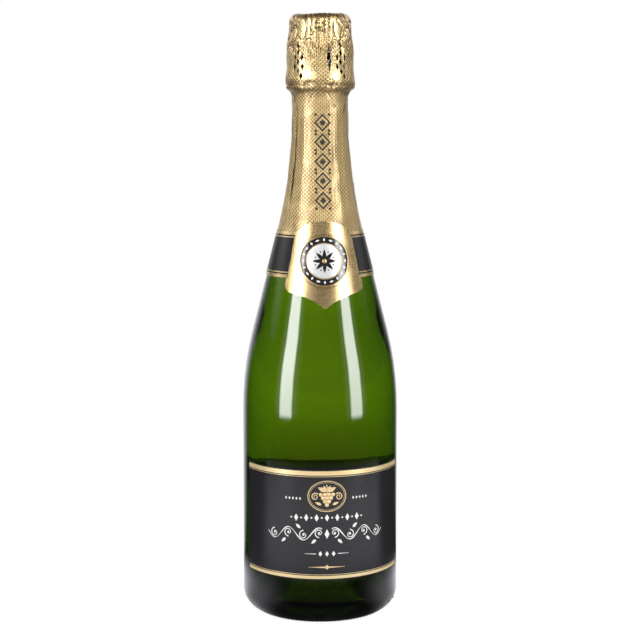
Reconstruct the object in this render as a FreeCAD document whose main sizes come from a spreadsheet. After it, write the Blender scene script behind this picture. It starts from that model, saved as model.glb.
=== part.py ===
import FreeCAD, Part
import math
import os
import re
import Sketcher

# Bottle of sparkling wine: glass, wine, cork, plaque, wire cage, foil and two labels.
# Millimetres, +Z up, standing on z = 0, with the labels' middle towards -Y.

SIZES = {
    # glass: body, heel and punt
    "body_radius": 43,
    "body_top": 113,
    "body_wall": 4.9,
    "heel_radius": 11,
    "foot_width": 2.5,
    "punt_height": 32,
    "punt_crown": 12,
    "punt_wall": 6,
    "trough_radius": 5,
    # glass: shoulder, neck and finish
    "shoulder_radius": 176,
    "shoulder_angle": 14.3,
    "sweep_radius": 235,
    "neck_radius": 15.1,
    "neck_length": 20.6,
    "groove_radius": 14.4,
    "groove_height": 4.2,
    "ring_radius": 16.3,
    "ring_height": 8,
    "ring_round": 1,
    "ring_crown": 2.5,
    "throat_radius": 13.6,
    "throat_height": 1,
    "lip_radius": 14.3,
    "lip_height": 4.4,
    "lip_round": 1.5,
    "bore_depth": 26,
    # wine
    "fill_depth": 70,
    "wine_gap": 0.05,
    # cork
    "cork_radius": 9,
    "cork_fit": 0.05,
    "cork_depth": 24,
    "disc_height": 6,
    "head_radius": 14.2,
    "head_height": 19.5,
    "head_seat": 0.3,
    "head_round": 2.5,
    # plaque
    "plaque_sheet": 0.25,
    "plaque_radius": 12,
    "plaque_raise": 1,
    "plaque_disc": 8.4,
    "plaque_step": 0.8,
    # wire cage and belt
    "wire_radius": 0.38,
    "wire_gap": 0.08,
    "crown_radius": 10.4,
    "crown_bend": 1.2,
    "leg_bend": 3.2,
    "leg_turns": 2,
    "leg_azimuth": 45,
    "stem_azimuth": 8,
    "stem_turns": 2,
    "loop_half": 2.3,
    "loop_height": 6,
    "joint_gap": 0.1,
    # foil
    "foil_sheet": 0.25,
    "foil_gap": 0.05,
    "hood_gap": 0.65,
    "hood_corner": 4.6,
    "crown_clear": 1.4,
    "waist_clear": 3.6,
    "waist_drop": 16,
    "bulge_radius": 19.15,
    "bulge_height": 3,
    "tear_drop": 3.1,
    "tear_gap": 0.1,
    "tuck_height": 6.5,
    "skirt_lap": 10,
    "vent_width": 1.3,
    "vent_height": 2.9,
    "vent_column": 2.3,
    "vent_row": 4.2,
    "vent_drop": 25.5,
    "vent_azimuth": 37,
    "slit_width": 0.9,
    "slit_length": 14,
    "slit_drop": 16.3,
    "slit_azimuth": 10.5,
    # labels
    "paper_sheet": 0.15,
    "paper_gap": 0.05,
    "band_drop": 3.6,
    "band_height": 24.4,
    "band_seam": 0.4,
    "shield_arch": 14.7,
    "shield_rise": 6,
    "shield_half": 21,
    "shield_drop": 4,
    "shield_point": 16,
    "shield_corner": 4,
    "shield_curve": 40,
    "label_bottom": 26.2,
    "label_height": 60.2,
    "label_angle": 138,
}

doc = FreeCAD.newDocument("sparkling_wine_bottle")
sheet = doc.addObject("Spreadsheet::Sheet", "Sizes")
for row, (alias, number) in enumerate(SIZES.items(), start=1):
    sheet.set(f"A{row}", alias)
    sheet.set(f"B{row}", str(number))
    sheet.setAlias(f"B{row}", alias)
doc.recompute()

# Levels: what follows from the sizes, each bound to them
levels = doc.addObject("App::VarSet", "Levels")


def formula(text):
    """Expression in which each bare name points at its size or its level."""
    def owner(match):
        name = match.group(0)
        return ("Sizes." if name in SIZES else "Levels.") + name
    return re.sub(r"[a-z]+_[a-z_]+", owner, text)


def value(text):
    """Number that a formula over the sizes and levels gives now."""
    return float(sheet.evalExpression(formula(text)))


def level(name, text):
    """Adds a level that follows the sizes."""
    levels.addProperty("App::PropertyFloat", name)
    levels.setExpression(name, formula(text))
    doc.recompute()


# The glass outline: shoulder arc, straight cone and neck sweep are tangent to each other
level("shoulder_end", "body_radius - shoulder_radius * (1 - cos(shoulder_angle))")
level("shoulder_top", "body_top + shoulder_radius * sin(shoulder_angle)")
level("cone_end", "neck_radius + sweep_radius * (1 - cos(shoulder_angle))")
level("cone_top", "shoulder_top + (shoulder_end - cone_end) / tan(shoulder_angle)")
level("sweep_top", "cone_top + sweep_radius * sin(shoulder_angle)")
level("ring_bottom", "sweep_top + neck_length")
level("ring_top", "ring_bottom + ring_height")
level("lip_top", "ring_top + throat_height + lip_height")
level("bore_radius", "cork_radius + cork_fit")
level("bore_bottom", "lip_top - bore_depth")

# The punt: a cone from the standing ring, tangent to a round crown on the axis
level("foot_outer", "body_radius - heel_radius")
level("foot_inner", "foot_outer - foot_width")
level("punt_centre", "punt_height - punt_crown")
level("punt_reach", "sqrt(foot_inner ^ 2 + punt_centre ^ 2)")
level("punt_slope", "(atan(punt_centre / foot_inner) + asin(punt_crown / punt_reach)) / 1deg")

# Cork, cage and foil stand on each other
level("cork_bottom", "lip_top - cork_depth")
level("cork_top", "lip_top + head_height")
level("crown_level", "cork_top + plaque_sheet + joint_gap / 2 + wire_radius")
level("strand_offset", "wire_radius + wire_gap / 2")
level("eye_radius", "2 * wire_radius + wire_gap")
level("belt_radius", "groove_radius + wire_gap + wire_radius + eye_radius")
level("belt_level", "ring_bottom - wire_gap - wire_radius - eye_radius")
level("leg_top", "head_radius + wire_gap + strand_offset + wire_radius")
level("stem_out", "ring_radius + wire_gap + strand_offset + wire_radius")
level("leg_foot", "leg_top + (stem_out - leg_top) * (crown_level - leg_bend - ring_bottom - ring_round)"
                  " / (crown_level - leg_bend - ring_top + ring_crown)")
level("hood_inside", "cork_top + crown_clear")
level("hood_top", "hood_inside + foil_sheet")
level("hood_crown", "leg_top + wire_radius + strand_offset + hood_gap + foil_sheet")
level("hood_waist", "head_radius + waist_clear + foil_sheet")
level("tear_level", "ring_bottom - tear_drop")

# The collar's band, its arch, and how far its shell runs along the glass
level("band_top", "cone_top - band_drop")
level("band_bottom", "band_top - band_height")
level("shield_waist", "band_bottom - shield_drop")
level("shield_tip", "band_bottom - shield_point")
level("arch_radius", "(shield_arch ^ 2 + shield_rise ^ 2) / (2 * shield_rise)")
level("collar_angle", "asin((sweep_top - band_top - shield_rise - 2) / sweep_radius) / 1deg")
level("collar_drop", "(cone_top - shield_tip) / cos(shoulder_angle) + 2")


def new_body(name):
    body = doc.addObject("PartDesign::Body", name)
    body.Label = name
    return body


def origin_plane(body, role):
    return [item for item in body.Origin.OriginFeatures if item.Role == role][0]


def new_sketch(body, name, role="XZ_Plane"):
    sketch = body.newObject("Sketcher::SketchObject", name)
    sketch.AttachmentSupport = [(origin_plane(body, role), "")]
    sketch.MapMode = "FlatFace"
    return sketch


def bind(sketch, kind, refs, text):
    """Adds a dimension whose value follows a formula."""
    index = sketch.addConstraint(Sketcher.Constraint(kind, *refs, value(text)))
    sketch.setExpression(f"Constraints[{index}]", formula(text))


def pin(sketch, geometry, end, across, up):
    """Holds one point of a sketch at two formulas, or on an axis where a formula is 0."""
    # in a sketch, geometry -2 is the upright axis and -1 the level one, which starts at the origin
    for kind, axis, text in (("DistanceX", -2, across), ("DistanceY", -1, up)):
        if text == "0":
            sketch.addConstraint(Sketcher.Constraint("PointOnObject", geometry, end, axis))
        elif value(text) > 0:
            bind(sketch, kind, (-1, 1, geometry, end), text)
        else:
            bind(sketch, kind, (geometry, end, -1, 1), f"-({text})")


def arc_between(start, finish, radius):
    """Arc of under half a circle, with its centre on the left of the way for a radius above 0."""
    chord = finish - start
    left = FreeCAD.Vector(-chord.y, chord.x, 0).normalize()
    rise = math.sqrt(max(radius ** 2 - chord.Length ** 2 / 4, 0))
    centre = (start + finish) / 2 + left * math.copysign(rise, radius)
    first, last = (start, finish) if radius > 0 else (finish, start)
    angles = [math.atan2((p - centre).y, (p - centre).x) for p in (first, last)]
    circle = Part.Circle(centre, FreeCAD.Vector(0, 0, 1), abs(radius))
    return Part.ArcOfCircle(circle, *angles)


def draw(sketch, points):
    """Draws a closed outline. A third entry in a point makes the way to the next an arc."""
    # point 1 of an edge is its start and point 2 its end, and an arc starts at its clockwise end
    spots = [FreeCAD.Vector(value(p[0]), value(p[1]), 0) for p in points]
    ends = []
    for i, point in enumerate(points):
        here, there = spots[i], spots[(i + 1) % len(spots)]
        if len(point) == 2:
            index = sketch.addGeometry(Part.LineSegment(here, there))
            ends.append((index, 1, 2))
            continue
        turn = -1 if point[2].startswith("-") else 1
        size = point[2].lstrip("-")
        index = sketch.addGeometry(arc_between(here, there, turn * value(size)))
        ends.append((index, 1, 2) if turn > 0 else (index, 2, 1))
        bind(sketch, "Radius", (index,), size)
    for i, (index, start, _) in enumerate(ends):
        before, _, finish = ends[i - 1]
        sketch.addConstraint(Sketcher.Constraint("Coincident", before, finish, index, start))
        pin(sketch, index, start, points[i][0], points[i][1])


def revolve(body, name, points, kind="PartDesign::Revolution"):
    """Turns an outline of radii and heights about the body's upright axis."""
    sketch = new_sketch(body, name + "_outline")
    draw(sketch, points)
    doc.recompute()
    feature = body.newObject(kind, name)
    feature.Profile = sketch
    feature.ReferenceAxis = (sketch, ["V_Axis"])
    feature.Angle = 360
    sketch.Visibility = False
    doc.recompute()
    return feature


def on_cone(offset, down="0"):
    """Point off the glass cone's upper end, and further down the cone."""
    across = f"cone_end + ({offset}) * cos(shoulder_angle) + ({down}) * sin(shoulder_angle)"
    up = f"cone_top + ({offset}) * sin(shoulder_angle) - ({down}) * cos(shoulder_angle)"
    return across, up


# Glass bottle

def cavity(gap):
    """Inside of the glass, drawn in by a gap all round."""
    skin = f"(body_wall + {gap})"
    floor = f"(punt_crown + punt_wall + {gap})"
    trough = f"(trough_radius - {gap})"
    side = f"(body_radius - {skin})"
    hollow = f"({side} - {trough})"
    dip = (f"(punt_centre + ({floor} + {trough} - {hollow} * sin(punt_slope)) / cos(punt_slope))")
    inner = f"(shoulder_radius - {skin})"
    sweep = f"(sweep_radius + {skin})"
    return [
        ("0", f"punt_centre + {floor}", "-" + floor),
        (f"{floor} * sin(punt_slope)", f"punt_centre + {floor} * cos(punt_slope)"),
        (f"{hollow} - {trough} * sin(punt_slope)", f"{dip} - {trough} * cos(punt_slope)", trough),
        (side, dip),
        (side, "body_top", inner),
        (f"shoulder_end - {skin} * cos(shoulder_angle)",
         f"shoulder_top - {skin} * sin(shoulder_angle)"),
        (*on_cone("-" + skin), "-" + sweep),
        (f"neck_radius - {skin}", "sweep_top"),
        (f"bore_radius - {gap}", "bore_bottom"),
        (f"bore_radius - {gap}", "lip_top"),
        ("0", "lip_top"),
    ]


def make_glass():
    body = new_body("glass_bottle")
    revolve(body, "glass_form", [
        ("0", "punt_height", "-punt_crown"),
        ("punt_crown * sin(punt_slope)", "punt_centre + punt_crown * cos(punt_slope)"),
        ("foot_inner", "0"),
        ("foot_outer", "0", "heel_radius"),
        ("body_radius", "heel_radius"),
        ("body_radius", "body_top", "shoulder_radius"),
        ("shoulder_end", "shoulder_top"),
        ("cone_end", "cone_top", "-sweep_radius"),
        ("neck_radius", "sweep_top"),
        ("neck_radius", "ring_bottom - groove_height"),
        ("groove_radius", "ring_bottom - groove_height + neck_radius - groove_radius"),
        ("groove_radius", "ring_bottom"),
        ("ring_radius - ring_round", "ring_bottom", "ring_round"),
        ("ring_radius", "ring_bottom + ring_round"),
        ("ring_radius", "ring_top - ring_crown", "ring_crown"),
        ("ring_radius - ring_crown", "ring_top"),
        ("throat_radius", "ring_top"),
        ("throat_radius", "ring_top + throat_height"),
        ("lip_radius", "ring_top + throat_height + lip_radius - throat_radius"),
        ("lip_radius", "lip_top - lip_round", "lip_round"),
        ("lip_radius - lip_round", "lip_top"),
        ("0", "lip_top"),
    ])
    revolve(body, "glass_cavity", cavity("0"), "PartDesign::Groove")
    return body


# Wine, up to its fill level

def make_wine():
    body = new_body("wine")
    revolve(body, "wine_form", cavity("wine_gap"))
    sketch = new_sketch(body, "fill_outline", "XY_Plane")
    sketch.setExpression("AttachmentOffset.Base.z", formula("lip_top - fill_depth"))
    sketch.addGeometry(Part.Circle(FreeCAD.Vector(), FreeCAD.Vector(0, 0, 1), value("body_radius")))
    sketch.addConstraint(Sketcher.Constraint("Coincident", 0, 3, -1, 1))
    bind(sketch, "Radius", (0,), "body_radius")
    doc.recompute()
    cut = body.newObject("PartDesign::Pocket", "fill_cut")
    cut.Profile = sketch
    cut.Reversed = True
    cut.setExpression("Length", formula("fill_depth + body_radius"))
    sketch.Visibility = False
    doc.recompute()
    return body


# Cork: a body with a mushroom head, and two discs below it

def make_cork():
    body = new_body("cork_body")
    seat = "lip_top + head_seat"
    revolve(body, "cork_form", [
        ("0", "cork_bottom + 2 * disc_height"),
        ("cork_radius", "cork_bottom + 2 * disc_height"),
        ("cork_radius", seat),
        ("head_radius - head_round", seat, "head_round"),
        ("head_radius", f"{seat} + head_round"),
        ("head_radius", "cork_top - head_round", "head_round"),
        ("head_radius - head_round", "cork_top"),
        ("0", "cork_top"),
    ])
    return body


def make_disc(name, bottom):
    disc = doc.addObject("Part::Cylinder", name)
    disc.Label = name
    disc.setExpression("Radius", formula("cork_radius"))
    disc.setExpression("Height", formula("disc_height"))
    disc.setExpression("Placement.Base.z", formula(bottom))
    return disc


# Plaque: a pressed disc with a raised middle and a flat rim for the wire

def make_plaque():
    body = new_body("cap_plaque")
    revolve(body, "plaque_form", [
        ("0", "cork_top + plaque_raise"),
        ("plaque_disc - plaque_sheet", "cork_top + plaque_raise"),
        ("plaque_disc + plaque_step - plaque_sheet", "cork_top"),
        ("plaque_radius", "cork_top"),
        ("plaque_radius", "cork_top + plaque_sheet"),
        ("plaque_disc + plaque_step", "cork_top + plaque_sheet"),
        ("plaque_disc", "cork_top + plaque_raise + plaque_sheet"),
        ("0", "cork_top + plaque_raise + plaque_sheet"),
    ])
    return body


# Wire: stations are a point and a direction, joined by pairs of tangent arcs

def station(azimuth, point, heading):
    """Station at an azimuth, from (outward, sideways, up) parts of its point and direction."""
    angle = math.radians(azimuth)
    out = FreeCAD.Vector(math.sin(angle), -math.cos(angle), 0)
    side = FreeCAD.Vector(math.cos(angle), math.sin(angle), 0)
    up = FreeCAD.Vector(0, 0, 1)
    spot, way = (out * part[0] + side * part[1] + up * part[2] for part in (point, heading))
    return spot, way.normalize()


def arc_edge(start, way, finish):
    """Edge that leaves a point along a direction and ends at another point."""
    chord = finish - start
    along = FreeCAD.Vector(chord).normalize()
    lean = way - along * way.dot(along)
    if lean.Length < 1e-4:
        return Part.LineSegment(start, finish).toShape()
    half = math.atan2(lean.Length, way.dot(along))
    crest = (start + finish) / 2 + lean.normalize() * (chord.Length / 2 * math.tan(half / 2))
    return Part.Arc(start, crest, finish).toShape()


def biarc(first, second):
    """Two tangent arcs from one station to the next."""
    (start, way), (finish, last) = first, second
    chord = finish - start
    spread = 2 * (1 - way.dot(last))
    pull = chord.dot(way + last)
    if spread < 1e-6:
        reach = chord.dot(chord) / (2 * pull)
    else:
        reach = (math.sqrt(pull ** 2 + spread * chord.dot(chord)) - pull) / spread
    near, far = start + way * reach, finish - last * reach
    middle = (near + far) / 2
    return [arc_edge(start, way, middle), arc_edge(middle, (far - near).normalize(), finish)]


def tube(stations):
    """Round wire along stations."""
    edges = []
    for first, second in zip(stations, stations[1:]):
        edges += biarc(first, second)
    path = Part.Wire(edges)
    start, way = stations[0]
    section = Part.Wire([Part.Circle(start, way, value("wire_radius")).toShape()])
    solid = path.makePipeShell([section], True, False)
    print(f"wire: length {path.Length:.1f}, volume off by "
          f"{abs(solid.Volume / path.Length / math.pi / value('wire_radius') ** 2 - 1):.2%}")
    return solid


def ring_stations(first, last, radius, height, steps):
    """Stations along a level ring about the axis."""
    found = []
    for i in range(steps + 1):
        azimuth = first + (last - first) * i / steps
        found.append(station(azimuth, (radius, 0, height), (0, 1, 0)))
    return found


def twist(azimuth, top, foot, phase, quarters):
    """One strand of a twisted pair, a station every quarter turn from one end to the other."""
    offset = value("strand_offset")
    run = (foot[0] - top[0], foot[1] - top[1])
    length = math.hypot(*run)
    along = (run[0] / length, run[1] / length)
    across = (-along[1], along[0])
    found = []
    for i in range(quarters + 1):
        angle = math.radians(phase + 90 * i)
        rate = 0 if i in (0, quarters) else offset * math.pi / 2 * quarters / length
        out, side = offset * math.sin(angle), offset * math.cos(angle)
        part = i / quarters
        point = (top[0] + run[0] * part + across[0] * out, side,
                 top[1] + run[1] * part + across[1] * out)
        swing, drift = rate * math.cos(angle), -rate * math.sin(angle)
        heading = (along[0] + across[0] * swing, drift, along[1] + across[1] * swing)
        found.append(station(azimuth, point, heading))
    return found


def back(stations):
    """The same stations, walked the other way."""
    return [(spot, way * -1) for spot, way in reversed(stations)]


def leg_stations(azimuth):
    """One leg of the cage: down one strand, round the belt in an eye, and up the other strand."""
    offset, bend, eye = value("strand_offset"), value("leg_bend"), value("eye_radius")
    crown, crown_z = value("crown_radius"), value("crown_level")
    belt, belt_z = value("belt_radius"), value("belt_level")
    top = (value("leg_top"), crown_z - bend)
    foot = (value("leg_foot"), value("ring_bottom + ring_round"))
    slope = math.atan2(foot[0] - top[0], top[1] - foot[1])
    quarters = 4 * int(value("leg_turns")) + 1
    bow = value("crown_bend")
    swing = math.degrees((bow + offset) / crown)
    halves = []
    for side, phase in ((-1, 180), (1, 0)):
        way = side * -1
        entry = [
            station(azimuth + side * 45, (crown, 0, crown_z), (0, way, 0)),
            station(azimuth + side * swing, (crown, 0, crown_z), (0, way, 0)),
            station(azimuth, (crown + bow, side * offset, crown_z), (1, 0, 0)),
            station(azimuth, (top[0] - bend, side * offset, crown_z), (1, 0, 0)),
        ]
        strand = twist(azimuth, top, foot, phase, quarters)
        halves.append(entry + strand)
    exit_angle = math.radians(-40)
    loop = [
        station(azimuth, (belt, 0, belt_z + eye), (-1, 0, 0)),
        station(azimuth, (belt - eye, 0, belt_z), (0, 0, -1)),
        station(azimuth, (belt, 0, belt_z - eye), (1, 0, 0)),
        station(azimuth, (belt + eye * math.cos(exit_angle), 0, belt_z + eye * math.sin(exit_angle)),
                (-math.sin(exit_angle), 0, math.cos(exit_angle))),
    ]
    return halves[0] + loop + back(halves[1])


def make_wire(name, stations):
    wire = doc.addObject("Part::Feature", name)
    wire.Label = name
    wire.Shape = tube(stations)
    return wire


def make_cage():
    """One wire for the crown ring and all four legs. Its ends meet in the ring, a joint gap apart."""
    stations = []
    for i in range(4):
        leg = leg_stations(value("leg_azimuth") + 90 * i)
        stations += leg if not stations else leg[1:]
    cut = math.degrees(value("joint_gap / crown_radius"))
    ring = (value("crown_radius"), 0, value("crown_level"))
    stations[0] = station(value("leg_azimuth") - 45 + cut, ring, (0, 1, 0))
    return make_wire("cage_wire", stations)


def make_belt():
    """The ring through the eyes, with a twisted stem folded up over the glass ring, and its loop."""
    azimuth, offset = value("stem_azimuth"), value("strand_offset")
    belt, belt_z = value("belt_radius"), value("belt_level")
    out, half, rise = value("stem_out"), value("loop_half"), value("loop_height")
    foot = (out, value("ring_bottom + ring_round"))
    top = (out, value("ring_top"))
    swing = math.degrees(6 * value("wire_radius") / belt)
    seam = math.degrees(value("joint_gap / belt_radius"))
    quarters = 4 * int(value("stem_turns"))
    way_in = ring_stations(azimuth - 180 + seam, azimuth - swing, belt, belt_z, 3)
    way_out = ring_stations(azimuth + swing, azimuth + 180, belt, belt_z, 3)
    rising = twist(azimuth, foot, top, 180, quarters)
    falling = back(twist(azimuth, foot, top, 0, quarters))
    loop = [
        station(azimuth, (out, -half, top[1] + rise / 2), (0, 0, 1)),
        station(azimuth, (out, 0, top[1] + rise), (0, 1, 0)),
        station(azimuth, (out, half, top[1] + rise / 2), (0, 0, -1)),
    ]
    return make_wire("belt_wire", way_in + rising + loop + falling + way_out)


# Foil: a hood down to the tear line, and a skirt on the neck below it

def hood_profile(inset):
    """Outside of the hood from the axis to the tear line, or its inside with an inset."""
    return [
        ("0", f"hood_top - {inset}"),
        ("hood_crown - hood_corner", f"hood_top - {inset}", f"-(hood_corner - {inset})"),
        (f"hood_crown - {inset}", "hood_top - hood_corner"),
        (f"hood_waist - {inset}", "hood_top - waist_drop"),
        (f"bulge_radius - {inset}", "tear_level + bulge_height"),
        (f"bulge_radius - {inset}", "tear_level"),
    ]


def walk_back(points):
    """The same outline walked the other way, each arc kept with its own two ends."""
    found = []
    for i in range(len(points) - 1, -1, -1):
        bend = points[i - 1][2:] if i else ()
        found.append(points[i][:2] + tuple(b.lstrip("-") if b.startswith("-") else "-" + b for b in bend))
    return found


def extrude(body, kind, name, sketch, length, **settings):
    """Pads or pockets a sketch by a length formula."""
    feature = body.newObject(kind, name)
    feature.Profile = sketch
    feature.setExpression("Length", formula(length))
    for setting, choice in settings.items():
        setattr(feature, setting, choice)
    sketch.Visibility = False
    doc.recompute()
    return feature


def face_azimuth(sketch, text):
    """Turns a sketch on the XZ plane about the upright axis, to face an azimuth."""
    sketch.AttachmentOffset = FreeCAD.Placement(
        FreeCAD.Vector(), FreeCAD.Rotation(FreeCAD.Vector(0, 1, 0), 10))
    sketch.setExpression("AttachmentOffset.Rotation.Angle", formula(text))


def make_hood():
    """Hood with a slit where the foil laps, and four groups of nine diamond vents."""
    body = new_body("foil_hood")
    revolve(body, "hood_form", hood_profile("0") + walk_back(hood_profile("foil_sheet")))
    slit = new_sketch(body, "slit_outline")
    face_azimuth(slit, "slit_azimuth")
    high, low = "hood_top - slit_drop", "hood_top - slit_drop - slit_length"
    draw(slit, [("-slit_width / 2", low), ("slit_width / 2", low),
                ("slit_width / 2", high), ("-slit_width / 2", high)])
    doc.recompute()
    extrude(body, "PartDesign::Pocket", "slit_cut", slit, "2 * bulge_radius", Reversed=True)
    vents = new_sketch(body, "vent_outline")
    face_azimuth(vents, "vent_azimuth")
    for column in (-1, 0, 1):
        for row in (-1, 0, 1):
            across = f"{column} * vent_column"
            up = f"hood_top - vent_drop + ({row} + {abs(column)} / 2) * vent_row"
            draw(vents, [(across if column else "0", f"{up} - vent_height / 2"),
                         (f"{across} + vent_width / 2", up),
                         (across if column else "0", f"{up} + vent_height / 2"),
                         (f"{across} - vent_width / 2", up)])
    doc.recompute()
    cut = extrude(body, "PartDesign::Pocket", "vent_cut", vents, "2 * bulge_radius", Reversed=True)
    pattern = body.newObject("PartDesign::PolarPattern", "vent_groups")
    pattern.Originals = [cut]
    pattern.Axis = (origin_plane(body, "Z_Axis"), [""])
    pattern.Angle = 360
    pattern.Occurrences = 4
    body.Tip = pattern
    return body


def make_skirt():
    body = new_body("foil_skirt")
    inner, outer = "foil_gap", "(foil_gap + foil_sheet)"
    top = "tear_level - tear_gap"
    revolve(body, "skirt_form", [
        on_cone(inner, "skirt_lap"),
        (*on_cone(inner), f"-(sweep_radius - {inner})"),
        (f"neck_radius + {inner}", "sweep_top"),
        (f"neck_radius + {inner}", f"{top} - tuck_height"),
        ("bulge_radius - foil_sheet", top),
        ("bulge_radius", top),
        (f"neck_radius + {outer}", f"{top} - tuck_height"),
        (f"neck_radius + {outer}", "sweep_top", f"(sweep_radius - {outer})"),
        on_cone(outer),
        on_cone(outer, "skirt_lap"),
    ])
    return body


# Labels

def on_sweep(offset):
    """Point off the neck sweep, at the top of the collar's blank."""
    reach = f"(sweep_radius - ({offset}))"
    return (f"neck_radius + sweep_radius - {reach} * cos(collar_angle)",
            f"sweep_top - {reach} * sin(collar_angle)")


def make_collar():
    """Band with a shield: a shell that follows the glass, cut to its outline."""
    blank = new_body("collar_blank")
    inner = "(foil_gap + foil_sheet + paper_gap)"
    outer = f"({inner} + paper_sheet)"
    revolve(blank, "collar_shell", [
        on_cone(inner, "collar_drop"),
        (*on_cone(inner), f"-(sweep_radius - {inner})"),
        on_sweep(inner),
        (*on_sweep(outer), f"(sweep_radius - {outer})"),
        on_cone(outer),
        on_cone(outer, "collar_drop"),
    ])
    die = new_body("collar_die")
    band = new_sketch(die, "band_outline")
    draw(band, [("-body_radius", "band_bottom"), ("body_radius", "band_bottom"),
                ("body_radius", "band_top"), ("-body_radius", "band_top")])
    doc.recompute()
    extrude(die, "PartDesign::Pad", "band_form", band, "2 * body_radius", SideType="Symmetric")
    shield = new_sketch(die, "shield_outline")
    draw(shield, [("-shield_arch", "band_top", "-arch_radius"),
                  ("shield_arch", "band_top"),
                  ("shield_half", "shield_waist", "-shield_corner"),
                  ("shield_half - shield_corner", "shield_waist - shield_corner", "shield_curve"),
                  ("0", "shield_tip", "shield_curve"),
                  ("-shield_half + shield_corner", "shield_waist - shield_corner", "-shield_corner"),
                  ("-shield_half", "shield_waist")])
    doc.recompute()
    extrude(die, "PartDesign::Pad", "shield_form", shield, "body_radius")
    seam = new_sketch(die, "seam_outline")
    draw(seam, [("-band_seam / 2", "band_bottom - 1"), ("band_seam / 2", "band_bottom - 1"),
                ("band_seam / 2", "band_top + 1"), ("-band_seam / 2", "band_top + 1")])
    doc.recompute()
    extrude(die, "PartDesign::Pocket", "seam_cut", seam, "2 * body_radius")
    collar = doc.addObject("Part::Common", "collar_label")
    collar.Label = "collar_label"
    collar.Base = blank
    collar.Tool = die
    return collar


def make_label():
    """Upright label, a part turn about the axis with its middle towards -Y."""
    body = new_body("front_label")
    inner, outer = "body_radius + paper_gap", "body_radius + paper_gap + paper_sheet"
    top = "label_bottom + label_height"
    turn = revolve(body, "label_form", [
        (inner, "label_bottom"), (outer, "label_bottom"), (outer, top), (inner, top)])
    turn.Midplane = True
    turn.setExpression("Angle", formula("label_angle"))
    body.Placement = FreeCAD.Placement(
        FreeCAD.Vector(), FreeCAD.Rotation(FreeCAD.Vector(0, 0, 1), -90))
    return body


pieces = [
    make_glass(),
    make_wine(),
    make_cork(),
    make_disc("cork_disc_upper", "cork_bottom + disc_height"),
    make_disc("cork_disc_lower", "cork_bottom"),
    make_plaque(),
    make_cage(),
    make_belt(),
    make_hood(),
    make_skirt(),
    make_collar(),
    make_label(),
]
doc.recompute()

for item in doc.Objects:
    if "Invalid" in item.State or "Error" in item.State:
        raise RuntimeError(f"{item.Name} failed to build: {item.State}")
os.makedirs("parts", exist_ok=True)
for piece in pieces:
    shape = piece.Shape
    if shape.isNull() or not shape.isValid() or len(shape.Solids) != 1:
        raise RuntimeError(f"{piece.Label} is not one valid solid")
    print(f"{piece.Label}: {shape.Volume / 1000:.2f} ml")
    shape.exportStep(f"parts/{piece.Label}.step")
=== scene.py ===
# %% [markdown]
# # A bottle of sparkling wine
#
# The bottle is closed by a cork, a wire cage over the cork and a foil over both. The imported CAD
# model holds each of them as a node; it is loaded first and stays where it is. This script
# dresses it. Glass that bends light, crumpled foil and raised print are built again here as mesh.
# The papers, the cork and the wires keep their CAD shape and get materials.
#
# Lengths are written in millimetres and multiplied by `MM`, because Blender works in metres. X
# points to the right, Y away from the viewer and Z up, from the middle of the bottle's foot.

# %% Load the frame
import math
import random
import bmesh
import bpy
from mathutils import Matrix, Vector, noise


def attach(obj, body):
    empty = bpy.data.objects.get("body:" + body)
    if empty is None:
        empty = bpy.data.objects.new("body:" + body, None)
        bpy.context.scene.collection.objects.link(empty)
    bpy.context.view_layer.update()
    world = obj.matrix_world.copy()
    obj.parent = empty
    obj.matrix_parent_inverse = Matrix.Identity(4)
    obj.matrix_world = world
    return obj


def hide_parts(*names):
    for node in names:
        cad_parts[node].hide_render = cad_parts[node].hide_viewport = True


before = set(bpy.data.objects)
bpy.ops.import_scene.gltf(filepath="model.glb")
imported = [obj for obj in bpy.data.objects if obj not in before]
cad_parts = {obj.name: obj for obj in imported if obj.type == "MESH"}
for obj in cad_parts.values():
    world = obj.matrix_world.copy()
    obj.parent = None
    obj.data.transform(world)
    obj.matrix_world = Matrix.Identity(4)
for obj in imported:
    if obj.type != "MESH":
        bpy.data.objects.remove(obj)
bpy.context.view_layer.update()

MM = 0.001
print("nodes:", ", ".join(sorted(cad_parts)))

# %% [markdown]
# ## Shaders written as formulas
#
# A shader is a graph of nodes, and a graph that is wired by hand hides what it works out. `Socket`
# wraps one output of a node and takes part in Python arithmetic, so `(x * x + y * y) ** 0.5`
# builds the Math nodes for a distance. The reflected forms (`__rsub__` and the like) are needed
# where the plain number stands first, as in `1 - mask`.

# %% One output of a node
def operator(operation, flipped=False):
    """Method of a Socket that adds one Math node."""
    def method(self, other):
        return self.math(operation, other, flipped)
    return method


class Socket:
    """One output of a node, usable in arithmetic."""

    def __init__(self, paint, output):
        self.paint = paint
        self.output = output

    def math(self, operation, other=None, flipped=False):
        """A Math node; flipped puts the other value first."""
        first, second = (other, self) if flipped else (self, other)
        return self.paint.node("ShaderNodeMath", {0: first, 1: second}, operation=operation)

    __add__, __radd__ = operator("ADD"), operator("ADD", True)
    __sub__, __rsub__ = operator("SUBTRACT"), operator("SUBTRACT", True)
    __mul__, __rmul__ = operator("MULTIPLY"), operator("MULTIPLY", True)
    __truediv__ = operator("DIVIDE")
    __pow__ = operator("POWER")

    def __neg__(self):
        return self.math("MULTIPLY", -1.0)

    def __abs__(self):
        return self.math("ABSOLUTE")

    def below(self, limit):
        """1 where the value is under the limit."""
        return self.math("LESS_THAN", limit)

    def above(self, limit):
        """1 where the value is over the limit."""
        return self.math("GREATER_THAN", limit)

    def either(self, other):
        """The larger of two masks."""
        return self.math("MAXIMUM", other)

    def ramp(self, start, end, low=0.0, high=1.0):
        """Smooth step from low at start to high at end."""
        inputs = {"Value": self, "From Min": start, "From Max": end, "To Min": low, "To Max": high}
        return self.paint.node("ShaderNodeMapRange", inputs, interpolation_type="SMOOTHSTEP")


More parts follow.
